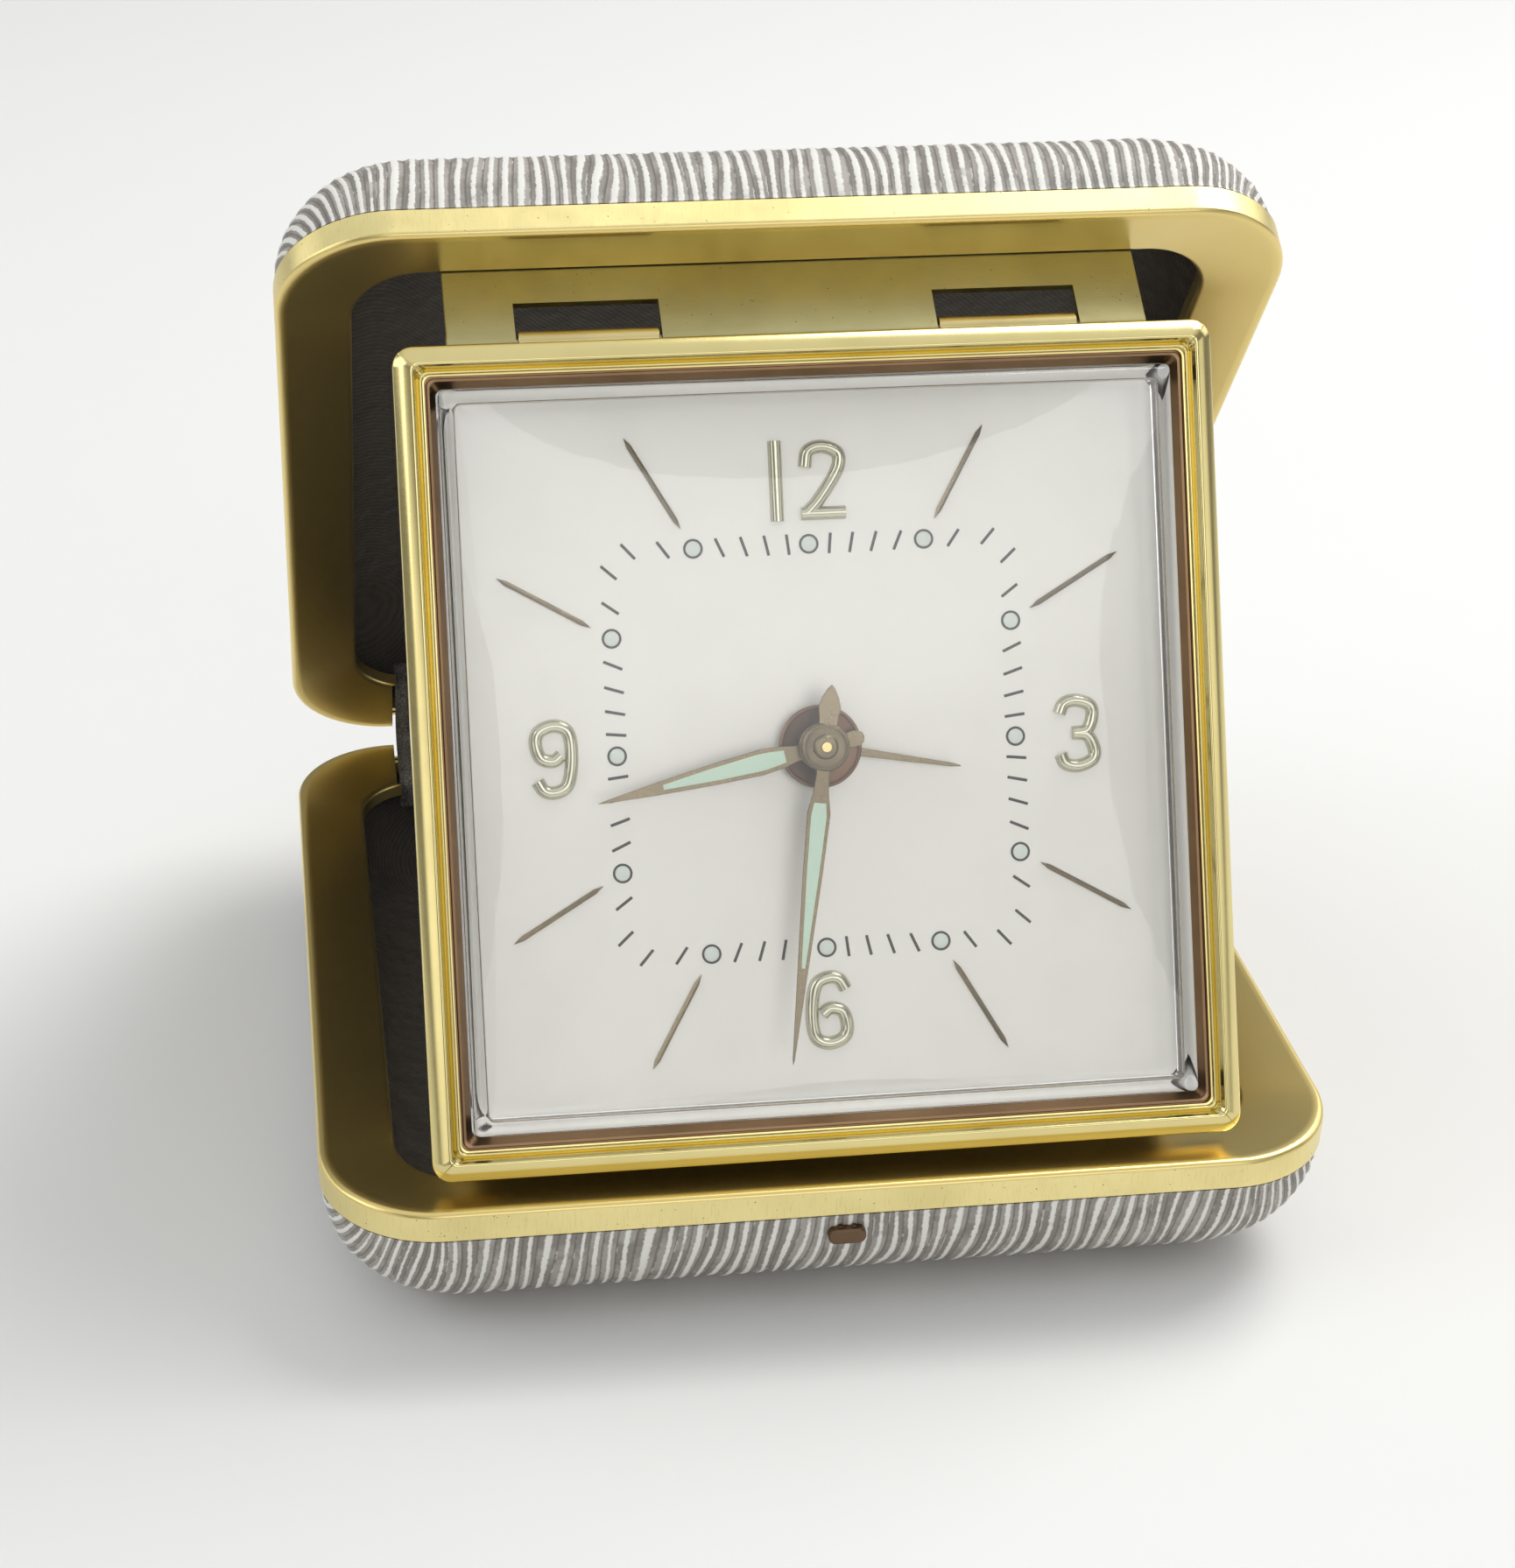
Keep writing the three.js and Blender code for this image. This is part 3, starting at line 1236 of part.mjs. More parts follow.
function buildEscapement() {
  const near = level(escapeWheelLevel);
  const far = near + wheelSheet;
  const pinCircle = escapeRadius + palletClearance + palletPinRadius;
  const back = palletDirection;
  const pins = [-1, 1].map((sideSign) => along(escapePlace, pinCircle, back + sideSign * palletSpread));
  const pallets = pins.flatMap((pin) => [
    arm(palletPlace, pin, leverWidth, near, far),
    rod(palletPinRadius + leverWidth / 2, near, far, pin, roundSides)]);
  const staff = moved(arbor(), palletPlace);
  const fork = arm(palletPlace, along(palletPlace, leverLength, balanceDirection), leverWidth, near, far);
  const clearance = rod(
    escapeRadius + palletClearance / 2, near - cutMargin, far + cutMargin, escapePlace, fineSides);
  piece(face, 'pallet_lever', joined(...pallets, fork).subtract(clearance).add(staff), steel());

  const rimNear = level(balanceLevel);
  const rimFar = rimNear + balanceSheet;
  const ring = cut(rod(balanceRadius, rimNear, rimFar, centre, drumSides),
    rod(balanceRadius - balanceRim, rimNear - cutMargin, rimFar + cutMargin, centre, drumSides));
  const spoke = block(-balanceRadius + balanceRim / 2, balanceRadius - balanceRim / 2,
    -leverWidth / 2, leverWidth / 2, -rimFar, -rimNear);
  const roller = rod(rollerRadius, level(escapeWheelLevel), level(escapeWheelLevel) + wheelSheet);
  piece(face, 'balance_wheel', moved(joined(ring, spoke, roller, arbor()), balancePlace), brass());
  const spring = slab(
    spiralShape(hairspringInner, hairspringPitch, hairspringTurns, hairspringSheet, 0),
    level(hairspringLevel), level(hairspringLevel) + wheelSheet);
  piece(face, 'hairspring', moved(spring, balancePlace), steel());

  const regulatorNear = backPlateBack + seatClearance;
  const regulatorFar = regulatorNear + wheelSheet;
  const tip = along(balancePlace, regulatorLength, regulatorDirection);
  const pointer = arm(balancePlace, tip, regulatorWidth, regulatorNear, regulatorFar);
  const finger = rod(regulatorWidth / 2, regulatorNear, housingBack - backClearance, tip, roundSides);
  piece(face, 'regulator', joined(
    pointer, finger, rod(keyHubRadius, regulatorNear, regulatorFar, balancePlace)), steel());
}

function buildAlarmWork() {
  const near = level(strikeWheelLevel);
  const far = near + wheelSheet;
  const towards = Math.atan2(strikePlace.y - hammerPlace.y, strikePlace.x - hammerPlace.x);
  const hammer = joined(
    arm(hammerPlace, hammerHead, hammerArm, near, far),
    arm(hammerPlace, along(hammerPlace, hammerPallet, towards), hammerArm, near, far),
    rod(hammerHeadRadius, near - hammerHeadHeight / 2, near + hammerHeadHeight / 2, hammerHead),
    moved(arbor(), hammerPlace));
  piece(face, 'alarm_hammer', hammer, steel());

  const capNear = housingBack + backClearance;
  const button = block(
    stopPlace.x - stopLength / 2, stopPlace.x + stopLength / 2,
    stopPlace.y - stopStem, stopPlace.y + stopStem, -capNear - stopHeight, -capNear);
  const stem = rod(
    stopStem / 2, housingInside - backClearance, capNear + stopHeight / 2, stopPlace, roundSides);
  piece(face, 'alarm_stop', button.add(stem), brass());
}

function buildFrame() {
  const pivots = [thirdPlace, fourthPlace, escapePlace, palletPlace, balancePlace, strikePlace, hammerPlace];
  const hole = (radius, place) => rod(
    radius + pivotClearance, frontPlateDepth - cutMargin, backPlateBack + cutMargin, place, pivotSides);
  const shared = [
    ...pivots.map((place) => hole(arborRadius, place)),
    hole(barrelArborRadius, barrelPlace), hole(barrelArborRadius, alarmBarrelPlace),
    hole(stemRadius, timeSetPlace), hole(stemRadius, alarmSetPlace), hole(centreArborRadius, centre),
  ];
  const outline = plan(0, movementSize / 2, movementSize / 2, movementCornerRadius, 1);
  const plateAt = (near) => cupOf(outline, [[0, -near - movementSheet], [0, -near]]);
  const screwHoles = pillarPlaces.map((place) => hole(screwRadius, place));
  const pillars = pillarPlaces.map((place) => rod(
    pillarRadius, frontPlateDepth + movementSheet / 2, backPlateDepth - seatClearance, place));
  piece(face, 'front_plate', cut(
    joined(plateAt(frontPlateDepth), ...pillars), ...shared, ...screwHoles,
    hole(arborRadius, minuteWheelPlace)),
  brass());
  piece(face, 'back_plate', cut(plateAt(backPlateDepth), ...shared, ...screwHoles), brass());
  const headNear = housingBack + seatClearance;
  const headFar = headNear + screwHeadHeight;
  const screws = pillarPlaces.map((place) => joined(
    rod(screwRadius, backPlateDepth - cutMargin, headFar, place),
    rod(screwHeadRadius, headNear, headFar, place)).subtract(block(
    place.x - screwHeadRadius, place.x + screwHeadRadius, place.y - screwSlot / 2, place.y + screwSlot / 2,
    -headFar - cutMargin, -headFar + screwHeadHeight / 2)));
  screws.forEach((screw, index) => piece(face, `case_screw_${index + 1}`, screw, steel()));
}

buildLowerCase();
buildUpperCase();
buildHead();
buildDial();
buildSetting(buildHands());
buildTrain();
buildBarrels();
buildEscapement();
buildAlarmWork();
buildFrame();

export default clock;
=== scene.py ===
"""A folding travel alarm clock that stands open on a pale floor.

Sizes are millimetres in the frame of the sub-assembly that they belong to. A tray's frame has its origin
on the case hinge, y towards the tray's front and z out of its mouth. The face's frame has its origin in the
middle of the clock's front plane, y up the face and z out of it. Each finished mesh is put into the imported
model's frame, in metres.
"""

import json
import logging
import math
from dataclasses import dataclass, field, replace
from enum import Enum
from typing import Callable, Iterable, Optional, Sequence

import bmesh
import bpy
from bmesh.types import BMEdge, BMesh, BMFace, BMVert
from mathutils import Euler, Matrix, Vector, noise
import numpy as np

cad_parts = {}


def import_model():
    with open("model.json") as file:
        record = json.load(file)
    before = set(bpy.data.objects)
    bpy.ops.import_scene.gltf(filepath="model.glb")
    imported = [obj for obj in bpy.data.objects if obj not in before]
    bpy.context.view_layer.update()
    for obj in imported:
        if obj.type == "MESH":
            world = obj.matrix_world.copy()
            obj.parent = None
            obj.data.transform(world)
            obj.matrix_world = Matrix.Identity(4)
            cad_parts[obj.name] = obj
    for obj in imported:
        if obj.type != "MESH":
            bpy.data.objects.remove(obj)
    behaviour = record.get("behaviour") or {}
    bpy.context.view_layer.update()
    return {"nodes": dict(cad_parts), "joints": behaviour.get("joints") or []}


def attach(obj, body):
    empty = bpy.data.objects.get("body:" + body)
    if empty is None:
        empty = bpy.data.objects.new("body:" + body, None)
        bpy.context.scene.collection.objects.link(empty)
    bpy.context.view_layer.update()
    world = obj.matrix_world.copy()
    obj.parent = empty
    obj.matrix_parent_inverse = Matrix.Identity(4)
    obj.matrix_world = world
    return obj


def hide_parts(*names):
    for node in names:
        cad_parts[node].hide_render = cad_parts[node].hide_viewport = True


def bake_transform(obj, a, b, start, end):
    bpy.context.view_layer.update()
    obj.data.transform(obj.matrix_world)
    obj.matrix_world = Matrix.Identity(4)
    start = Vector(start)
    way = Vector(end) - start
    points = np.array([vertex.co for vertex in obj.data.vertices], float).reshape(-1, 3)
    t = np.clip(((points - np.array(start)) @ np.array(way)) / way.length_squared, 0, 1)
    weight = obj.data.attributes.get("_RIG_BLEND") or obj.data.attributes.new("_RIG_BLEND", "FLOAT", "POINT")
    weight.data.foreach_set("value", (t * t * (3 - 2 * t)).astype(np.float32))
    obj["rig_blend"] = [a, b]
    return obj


log = logging.getLogger("travel_clock")

MM = 0.001
FULL_TURN = 2 * math.pi
QUARTER_TURN = math.pi / 2
# Points that are closer than this count as one, in millimetres.
SAME_PLACE = 1e-4
# Where the white line runs across a rib, from 0 to 1.
LINE_IN_RIB = 0.42
Pair = tuple[float, float]
Colour = tuple[float, float, float]
Place = Callable[[int, int], Vector]
Coats = Sequence[tuple[str, object]]
Socket = bpy.types.NodeSocket
Material = bpy.types.Material
Object = bpy.types.Object


class Side(Enum):
    """The two trays of the case."""

    LOWER = "lower"
    UPPER = "upper"


@dataclass(frozen=True)
class Space:
    """The frame of one sub-assembly, and the body that it moves with."""

    matrix: Matrix
    body: str

    def to_world(self) -> Matrix:
        """Returns the matrix from this frame's millimetres to the model's metres."""
        return Matrix.Scale(MM, 4) @ self.matrix

    def point(self, x: float, y: float, z: float) -> Vector:
        """Returns a point of this frame in the model's metres."""
        return self.to_world() @ Vector((x, y, z))

    def riding(self, body: str) -> "Space":
        """Returns the same frame for pieces that move with another body."""
        return Space(self.matrix, body)


@dataclass(frozen=True)
class Stand:
    """How the two trays and the clock stand to one another."""

    lid_angle: float = math.radians(56.3)
    pin_above_bezel: float = 0.25
    pin_behind_face: float = 4.3
    head_size: float = 64.5

    def spaces(self, joints: Sequence[dict]) -> dict[str, Space]:
        """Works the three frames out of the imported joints.

        Args:
            joints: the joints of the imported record.

        Returns:
            The frames by name: lower, upper and face.
        """
        found = {joint["name"]: joint for joint in joints}
        hinge = Vector(found["case_hinge"]["pos_m"]) / MM
        pin = Vector(found["clock_fold"]["pos_m"]) / MM
        face_out = -Vector(found["minute_spin"]["axis"]).normalized()
        face_up = face_out.cross(Vector((1, 0, 0)))
        centre = pin - face_up * (self.pin_above_bezel + self.head_size / 2) + face_out * self.pin_behind_face
        turned_round = Matrix.Rotation(math.pi, 4, "Z")
        opened = Matrix.Rotation(math.pi - self.lid_angle, 4, "X")
        face = Matrix((Vector((1, 0, 0)), face_up, face_out)).transposed().to_4x4()
        return {
            "lower": Space(Matrix.Translation(hinge) @ turned_round, "lower_case"),
            "upper": Space(Matrix.Translation(hinge) @ opened, "upper_case"),
            "face": Space(Matrix.Translation(centre) @ face, "clock"),
        }


def skin(count: int, stations: int, place: Place, closed: bool) -> BMesh:
    """Draws a skin through rings of points, one extrusion for each ring.

    Args:
        count: points in a ring.
        stations: number of rings.
        place: gives the place of a point from its station and its number in the ring.
        closed: joins the last ring to the first; otherwise both ends are capped.

    Returns:
        The closed mesh, with its faces outwards.
    """
    bm = bmesh.new()
    number = bm.verts.layers.int.new("number")
    ring = bmesh.ops.create_circle(bm, segments=count, radius=1)["verts"]
    for index, vert in enumerate(ring):
        vert[number] = index
        vert.co = place(0, index)
    first = edges = list(bm.edges)
    for station in range(1, stations):
        made = bmesh.ops.extrude_edge_only(bm, edges=edges)["geom"]
        verts = {item for item in made if isinstance(item, BMVert)}
        edges = [item for item in made if isinstance(item, BMEdge) and set(item.verts) <= verts]
        for vert in verts:
            vert.co = place(station, vert[number])
    if closed:
        bmesh.ops.bridge_loops(bm, edges=first + edges)
    else:
        bmesh.ops.edgeloop_fill(bm, edges=first)
        bmesh.ops.edgeloop_fill(bm, edges=edges)
    bmesh.ops.recalc_face_normals(bm, faces=bm.faces)
    return bm


@dataclass(frozen=True)
class RoundedPlan:
    """A rectangle with round corners, whose corners tighten towards the inside."""

    centre_y: float
    half_x: float
    half_y: float
    radius: float
    ease: float = 0.6
    least: float = 0.6
    steps: int = 12

    def point(self, number: int, inset: float, height: float) -> Vector:
        """Returns one point of the outline at some inset, counted round the four corners."""
        radius = max(self.radius - self.ease * inset, self.least)
        corner, step = divmod(number, self.steps + 1)
        angle = (corner + step / self.steps) * math.pi / 2
        across = self.half_x - inset - radius
        upward = self.half_y - inset - radius
        if corner in (1, 2):
            across = -across
        if corner in (2, 3):
            upward = -upward
        return Vector((
            across + radius * math.cos(angle), self.centre_y + upward + radius * math.sin(angle), height))

    def loft(self, profile: Sequence[Pair], closed: bool) -> BMesh:
        """Lofts a profile of insets and heights round the outline.

        Args:
            profile: the inset and the height of each ring.
            closed: True for a frame, False for a pan or a plate.

        Returns:
            The lofted mesh.
        """
        def place(station: int, number: int) -> Vector:
            """Returns a point of one ring."""
            return self.point(number, *profile[station])

        return skin(4 * (self.steps + 1), len(profile), place, closed)


def arc(centre: Pair, radii: Pair, start: float, end: float, steps: int) -> list[Pair]:
    """Returns the points of an arc of an ellipse, from one angle to another, in degrees."""
    points = []
    for step in range(steps + 1):
        angle = math.radians(start + (end - start) * step / steps)
        points.append((centre[0] + radii[0] * math.cos(angle), centre[1] + radii[1] * math.sin(angle)))
    return points


def placed(bm: BMesh, by: Sequence[float] = (0, 0, 0), turn: float = 0.0, axis: str = "Z") -> BMesh:
    """Turns a mesh about an axis through the origin, and then moves it.

    Args:
        bm: the mesh.
        by: how far it is moved along each axis.
        turn: the angle, in radians.
        axis: the axis that it is turned about.

    Returns:
        The same mesh.
    """
    if turn:
        bmesh.ops.rotate(bm, cent=(0, 0, 0), matrix=Matrix.Rotation(turn, 3, axis), verts=bm.verts)
    bmesh.ops.translate(bm, vec=by, verts=bm.verts)
    return bm


def soften(bm: BMesh, edges: Sequence[BMEdge], width: float, steps: int) -> None:
    """Rounds some edges of a mesh off, in so many steps."""
    bmesh.ops.bevel(
        bm, geom=edges, offset=width, segments=steps, profile=0.5, affect="EDGES", material=-1)


def turned(profile: Sequence[Pair], at: Pair = (0, 0), steps: int = 48) -> BMesh:
    """Turns a profile about an axis that stands on the face.

    Args:
        profile: the radius and the height of each point, from pole to pole or closed on itself.
        at: where the axis stands.
        steps: how many flats make the round.

    Returns:
        The turned mesh.
    """
    bm = bmesh.new()
    verts = [bm.verts.new((radius, 0, height)) for radius, height in profile]
    edges = [bm.edges.new(pair) for pair in zip(verts, verts[1:])]
    if profile[0][0] > 0:
        edges.append(bm.edges.new((verts[-1], verts[0])))
    bmesh.ops.spin(
        bm, geom=verts + edges, cent=(0, 0, 0), axis=(0, 0, 1), angle=FULL_TURN, steps=steps, use_merge=True)
    bmesh.ops.remove_doubles(bm, verts=bm.verts, dist=SAME_PLACE)
    bmesh.ops.recalc_face_normals(bm, faces=bm.faces)
    return placed(bm, (*at, 0))


def disc(radius: float, low: float, high: float, edge: float, at: Pair = (0, 0), steps: int = 48) -> BMesh:
    """Returns a round disc or rod with softened edges, standing on the face."""
    top = arc((radius - edge, high - edge), (edge, edge), 0, 90, 3)
    bottom = arc((radius - edge, low + edge), (edge, edge), -90, 0, 3)
    return turned([(0, low), *bottom, *top, (0, high)], at, steps)


def prism(outline: Sequence[Pair], low: float, high: float, edge: float = 0.0, segments: int = 2) -> BMesh:
    """Stands a flat outline up as a slab.

    Args:
        outline: the corners, in order.
        low: height of the underside.
        high: height of the top.
        edge: width of the softening of the top's edges.
        segments: steps of that softening.

    Returns:
        The slab.
    """
    bm = bmesh.new()
    face = bm.faces.new([bm.verts.new((x, y, low)) for x, y in outline])
    made = bmesh.ops.extrude_face_region(bm, geom=[face])["geom"]
    top = [item for item in made if isinstance(item, BMFace)]
    bmesh.ops.translate(bm, vec=(0, 0, high - low), verts=[v for v in made if isinstance(v, BMVert)])
    if edge:
        soften(bm, list({side for item in top for side in item.edges}), edge, segments)
    bmesh.ops.recalc_face_normals(bm, faces=bm.faces)
    return bm


def block(low: Sequence[float], high: Sequence[float], edge: float = 0.0) -> BMesh:
    """Returns a box between two corners, with its edges softened."""
    bm = bmesh.new()
    made = bmesh.ops.create_cube(bm, size=1)["verts"]
    size = [b - a for a, b in zip(low, high)]
    middle = [(a + b) / 2 for a, b in zip(low, high)]
    bmesh.ops.scale(bm, vec=size, verts=made)
    bmesh.ops.translate(bm, vec=middle, verts=made)
    if edge:
        soften(bm, bm.edges[:], edge, 2)
    return bm


def cross_rod(radius: float, start: float, end: float, y: float, z: float, edge: float = 0.08) -> BMesh:
    """Returns a rod that lies along x, with softened ends."""
    return placed(disc(radius, start, end, edge), (0, y, z), QUARTER_TURN, "Y")


def gathered(*parts: BMesh) -> BMesh:
    """Puts several meshes into the first one and frees the others."""
    whole, *others = parts
    for other in others:
        spare = bpy.data.meshes.new("spare")
        other.to_mesh(spare)
        whole.from_mesh(spare)
        other.free()
        bpy.data.meshes.remove(spare)
    return whole


def carved(whole: BMesh, cutters: Iterable[BMesh], joining: bool = False) -> BMesh:
    """Cuts solids out of another, or joins them to it.

    Args:
        whole: the solid that is cut.
        cutters: the solids that are taken away or joined.
        joining: True to join them.

    Returns:
        The new solid.
    """
    spare: list[Object] = []

    def stand_in(bm: BMesh) -> Object:
        """Returns a passing object that holds the mesh."""
        mesh = bpy.data.meshes.new("spare")
        bm.to_mesh(mesh)
        bm.free()
        made = bpy.data.objects.new("spare", mesh)
        bpy.context.scene.collection.objects.link(made)
        spare.append(made)
        return made

    base = stand_in(whole)
    for cutter in cutters:
        modifier = base.modifiers.new("cut", "BOOLEAN")
        modifier.operation = "UNION" if joining else "DIFFERENCE"
        modifier.solver = "EXACT"
        modifier.object = stand_in(cutter)
    graph = bpy.context.evaluated_depsgraph_get()
    result = bmesh.new()
    result.from_object(base, graph)
    for item in spare:
        mesh = item.data
        bpy.data.objects.remove(item)
        bpy.data.meshes.remove(mesh)
    bmesh.ops.remove_doubles(result, verts=result.verts, dist=SAME_PLACE)
    return result


def stroke(path: Sequence[Pair], width: float, low: float, high: float, steps: int = 12) -> BMesh:
    """Draws a line of half-round section over a flat face.

    Args:
        path: the points of the line.
        width: width of the line.
        low: height of its flat underside.
        high: height of its crown.
        steps: steps of the round.

    Returns:
        The closed line.
    """
    line = [Vector(point) for point in path]
    crown = arc((0, low), (width / 2, high - low), 0, 180, steps)

    def place(station: int, number: int) -> Vector:
        """Returns a point of the section at one point of the line."""
        before = line[max(station - 1, 0)]
        after = line[min(station + 1, len(line) - 1)]
        here = line[station]
        ahead = (after - before).normalized()
        inward = (here - before).normalized() if station else ahead
        lean = max(abs(ahead.dot(inward)), 0.6)
        aside, height = crown[number]
        return Vector((here.x + ahead.y * aside / lean, here.y - ahead.x * aside / lean, height))

    return skin(len(crown), len(line), place, closed=False)


class Graph:
    """Builds the node tree of one material, or of the world."""

    def __init__(self, name: str, space: Optional[Space] = None) -> None:
        """Starts the tree.

        Args:
            name: name of the material.
            space: the frame whose millimetres the pattern is laid out in, or None for the model's own.
        """
        self.material = bpy.data.materials.new(name)
        self.material.use_nodes = True
        self.tree = self.material.node_tree
        self.tree.nodes.clear()
        self.output = self.tree.nodes.new("ShaderNodeOutputMaterial")
        self.space = space

    @classmethod
    def of_world(cls, world: bpy.types.World) -> "Graph":
        """Starts the tree of a world."""
        made = cls.__new__(cls)
        made.material, made.tree, made.space = world, world.node_tree, None
        made.tree.nodes.clear()
        made.output = made.tree.nodes.new("ShaderNodeOutputWorld")
        return made

    def node(self, kind: str, **inputs: object) -> bpy.types.Node:
        """Adds a node, and sets or links its inputs by name, with _ for a space."""
        made = self.tree.nodes.new(kind)
        for name, value in inputs.items():
            self.put(made.inputs[name.replace("_", " ")], value)
        return made

    def put(self, socket: Socket, value: object) -> None:
        """Links a socket to the input, or sets the value on it."""
        if isinstance(value, Socket):
            self.tree.links.new(value, socket)
        elif isinstance(value, tuple) and len(value) == 3 and socket.type == "RGBA":
            socket.default_value = (*value, 1)
        else:
            socket.default_value = value

    def place(self, stretch: Sequence[float] = (1, 1, 1)) -> Socket:
        """Returns the point in millimetres of the frame, stretched for the pattern."""
        coordinates = self.node("ShaderNodeTexCoord").outputs["Object"]
        matrix = self.space.matrix if self.space else Matrix.Identity(4)
        local = self.node("ShaderNodeMapping", Vector=coordinates)
        local.vector_type = "TEXTURE"
        local.inputs["Location"].default_value = matrix.to_translation() * MM
        local.inputs["Rotation"].default_value = matrix.to_euler()
        local.inputs["Scale"].default_value = (MM, MM, MM)
        if tuple(stretch) == (1, 1, 1):
            return local.outputs[0]
        scaled = self.node("ShaderNodeMapping", Vector=local.outputs[0])
        scaled.inputs["Scale"].default_value = stretch
        return scaled.outputs[0]

    def noise(self, vector: Socket, scale: float, detail: float = 3, rough: float = 0.55,
              bend: float = 0) -> Socket:
        """Returns a cloudy pattern from 0 to 1."""
        return self.node(
            "ShaderNodeTexNoise", Vector=vector, Scale=scale, Detail=detail, Roughness=rough,
            Distortion=bend).outputs["Fac"]

    def cells(self, vector: Socket, scale: float, feature: str = "F1") -> Socket:
        """Returns the distance pattern of scattered cells."""
        made = self.node("ShaderNodeTexVoronoi", Vector=vector, Scale=scale)
        made.feature = feature
        return made.outputs["Distance"]

    def math(self, operation: str, first: object, second: object = 0.0, third: object = 0.0) -> Socket:
        """Returns the result of a sum."""
        made = self.tree.nodes.new("ShaderNodeMath")
        made.operation = operation
        for socket, value in zip(made.inputs, (first, second, third)):
            self.put(socket, value)
        return made.outputs[0]

    def plus(self, first: object, second: object) -> Socket:
        """Returns the sum of two values."""
        return self.math("ADD", first, second)

    def minus(self, first: object, second: object) -> Socket:
        """Returns the first value less the second."""
        return self.math("SUBTRACT", first, second)

    def times(self, first: object, second: object) -> Socket:
        """Returns the product of two values."""
        return self.math("MULTIPLY", first, second)

    def scaled(self, value: object, factor: object, added: object) -> Socket:
        """Returns a value times a factor, with something added."""
        return self.math("MULTIPLY_ADD", value, factor, added)

    def between(self, value: object, low: float, high: float, start: float = 0, end: float = 1) -> Socket:
        """Returns a value carried smoothly from one range to another."""
        made = self.node("ShaderNodeMapRange")
        made.interpolation_type = "SMOOTHSTEP"
        for socket, item in zip(made.inputs, (value, low, high, start, end)):
            self.put(socket, item)
        return made.outputs[0]

    def blend(self, share: object, first: object, second: object) -> Socket:
        """Returns one colour laid over another."""
        made = self.tree.nodes.new("ShaderNodeMix")
        made.data_type = "RGBA"
        self.put(made.inputs[0], share)
        self.put(made.inputs[6], first)
        self.put(made.inputs[7], second)
        return made.outputs[2]

    def split(self, vector: Socket) -> list[Socket]:
        """Returns the three coordinates of a point."""
        return list(self.node("ShaderNodeSeparateXYZ", Vector=vector).outputs)

    def join(self, x: object, y: object, z: object) -> Socket:
        """Returns a point from its three coordinates."""
        return self.node("ShaderNodeCombineXYZ", X=x, Y=y, Z=z).outputs[0]

    def bump(self, height: Socket, depth: float, before: Optional[Socket] = None) -> Socket:
        """Returns the normal of a relief that is some millimetres deep."""
        made = self.node("ShaderNodeBump", Height=height, Strength=1.0, Distance=depth * MM)
        if before is not None:
            self.put(made.inputs["Normal"], before)
        return made.outputs[0]

    def surface(self, shader: Socket) -> Material:
        """Ends the tree in a surface."""
        self.tree.links.new(shader, self.output.inputs["Surface"])
        return self.material

    def principled(self, **inputs: object) -> Material:
        """Ends the tree in one principled surface."""
        return self.surface(self.node("ShaderNodeBsdfPrincipled", **inputs).outputs[0])


@dataclass(frozen=True)
class Metal:
    """A metal surface.

    Attributes:
        colour: its colour straight on.
        tarnish: the colour of its dull patches.
        dull: share of those patches.
        rough: its roughness.
        uneven: how much the roughness changes from place to place.
        grain: the stretch of the fine scratches; along the smallest one.
        scratch: depth of the scratches.
        pits: size of the dark specks, as a share of their spacing.
        cloud: scale of the patches.
        brushed: share of the darker brush lines.
    """

    colour: Colour
    tarnish: Colour
    dull: float = 0.3
    rough: float = 0.2
    uneven: float = 0.15
    grain: tuple[float, float, float] = (6.0, 0.4, 6.0)
    scratch: float = 0.004
    pits: float = 0.0
    cloud: float = 0.09
    brushed: float = 0.12

    def material(self, name: str, space: Optional[Space] = None) -> Material:
        """Returns the material, laid out in a frame."""
        g = Graph(name, space)
        point = g.place()
        patches = g.noise(point, self.cloud, 3, 0.5)
        colour = g.blend(g.between(patches, 0.4, 0.7, 0, self.dull), self.colour, self.tarnish)
        fine = g.noise(g.place(self.grain), 1.6, 3, 0.7)
        colour = g.blend(g.between(fine, 0.52, 0.72, 0, self.brushed), colour, self.tarnish)
        smudge = g.noise(point, 0.3, 4, 0.65, 0.6)
        rough = g.between(smudge, 0.3, 0.75, self.rough, self.rough + self.uneven)
        rough = g.scaled(fine, 0.05, rough)
        height = g.scaled(g.noise(point, 5, 2, 0.5), 0.4, fine)
        if self.pits:
            specks = g.between(g.cells(point, 1.7), self.pits * 0.6, self.pits, 1, 0)
            sparse = g.between(g.noise(point, 0.9, 1), 0.5, 0.6)
            specks = g.times(specks, sparse)
            colour = g.blend(g.times(specks, 0.75), colour, tuple(c * 0.18 for c in self.tarnish))
            height = g.minus(height, specks)
        return g.principled(
            Base_Color=colour, Metallic=1.0, Roughness=rough, Normal=g.bump(height, self.scratch))


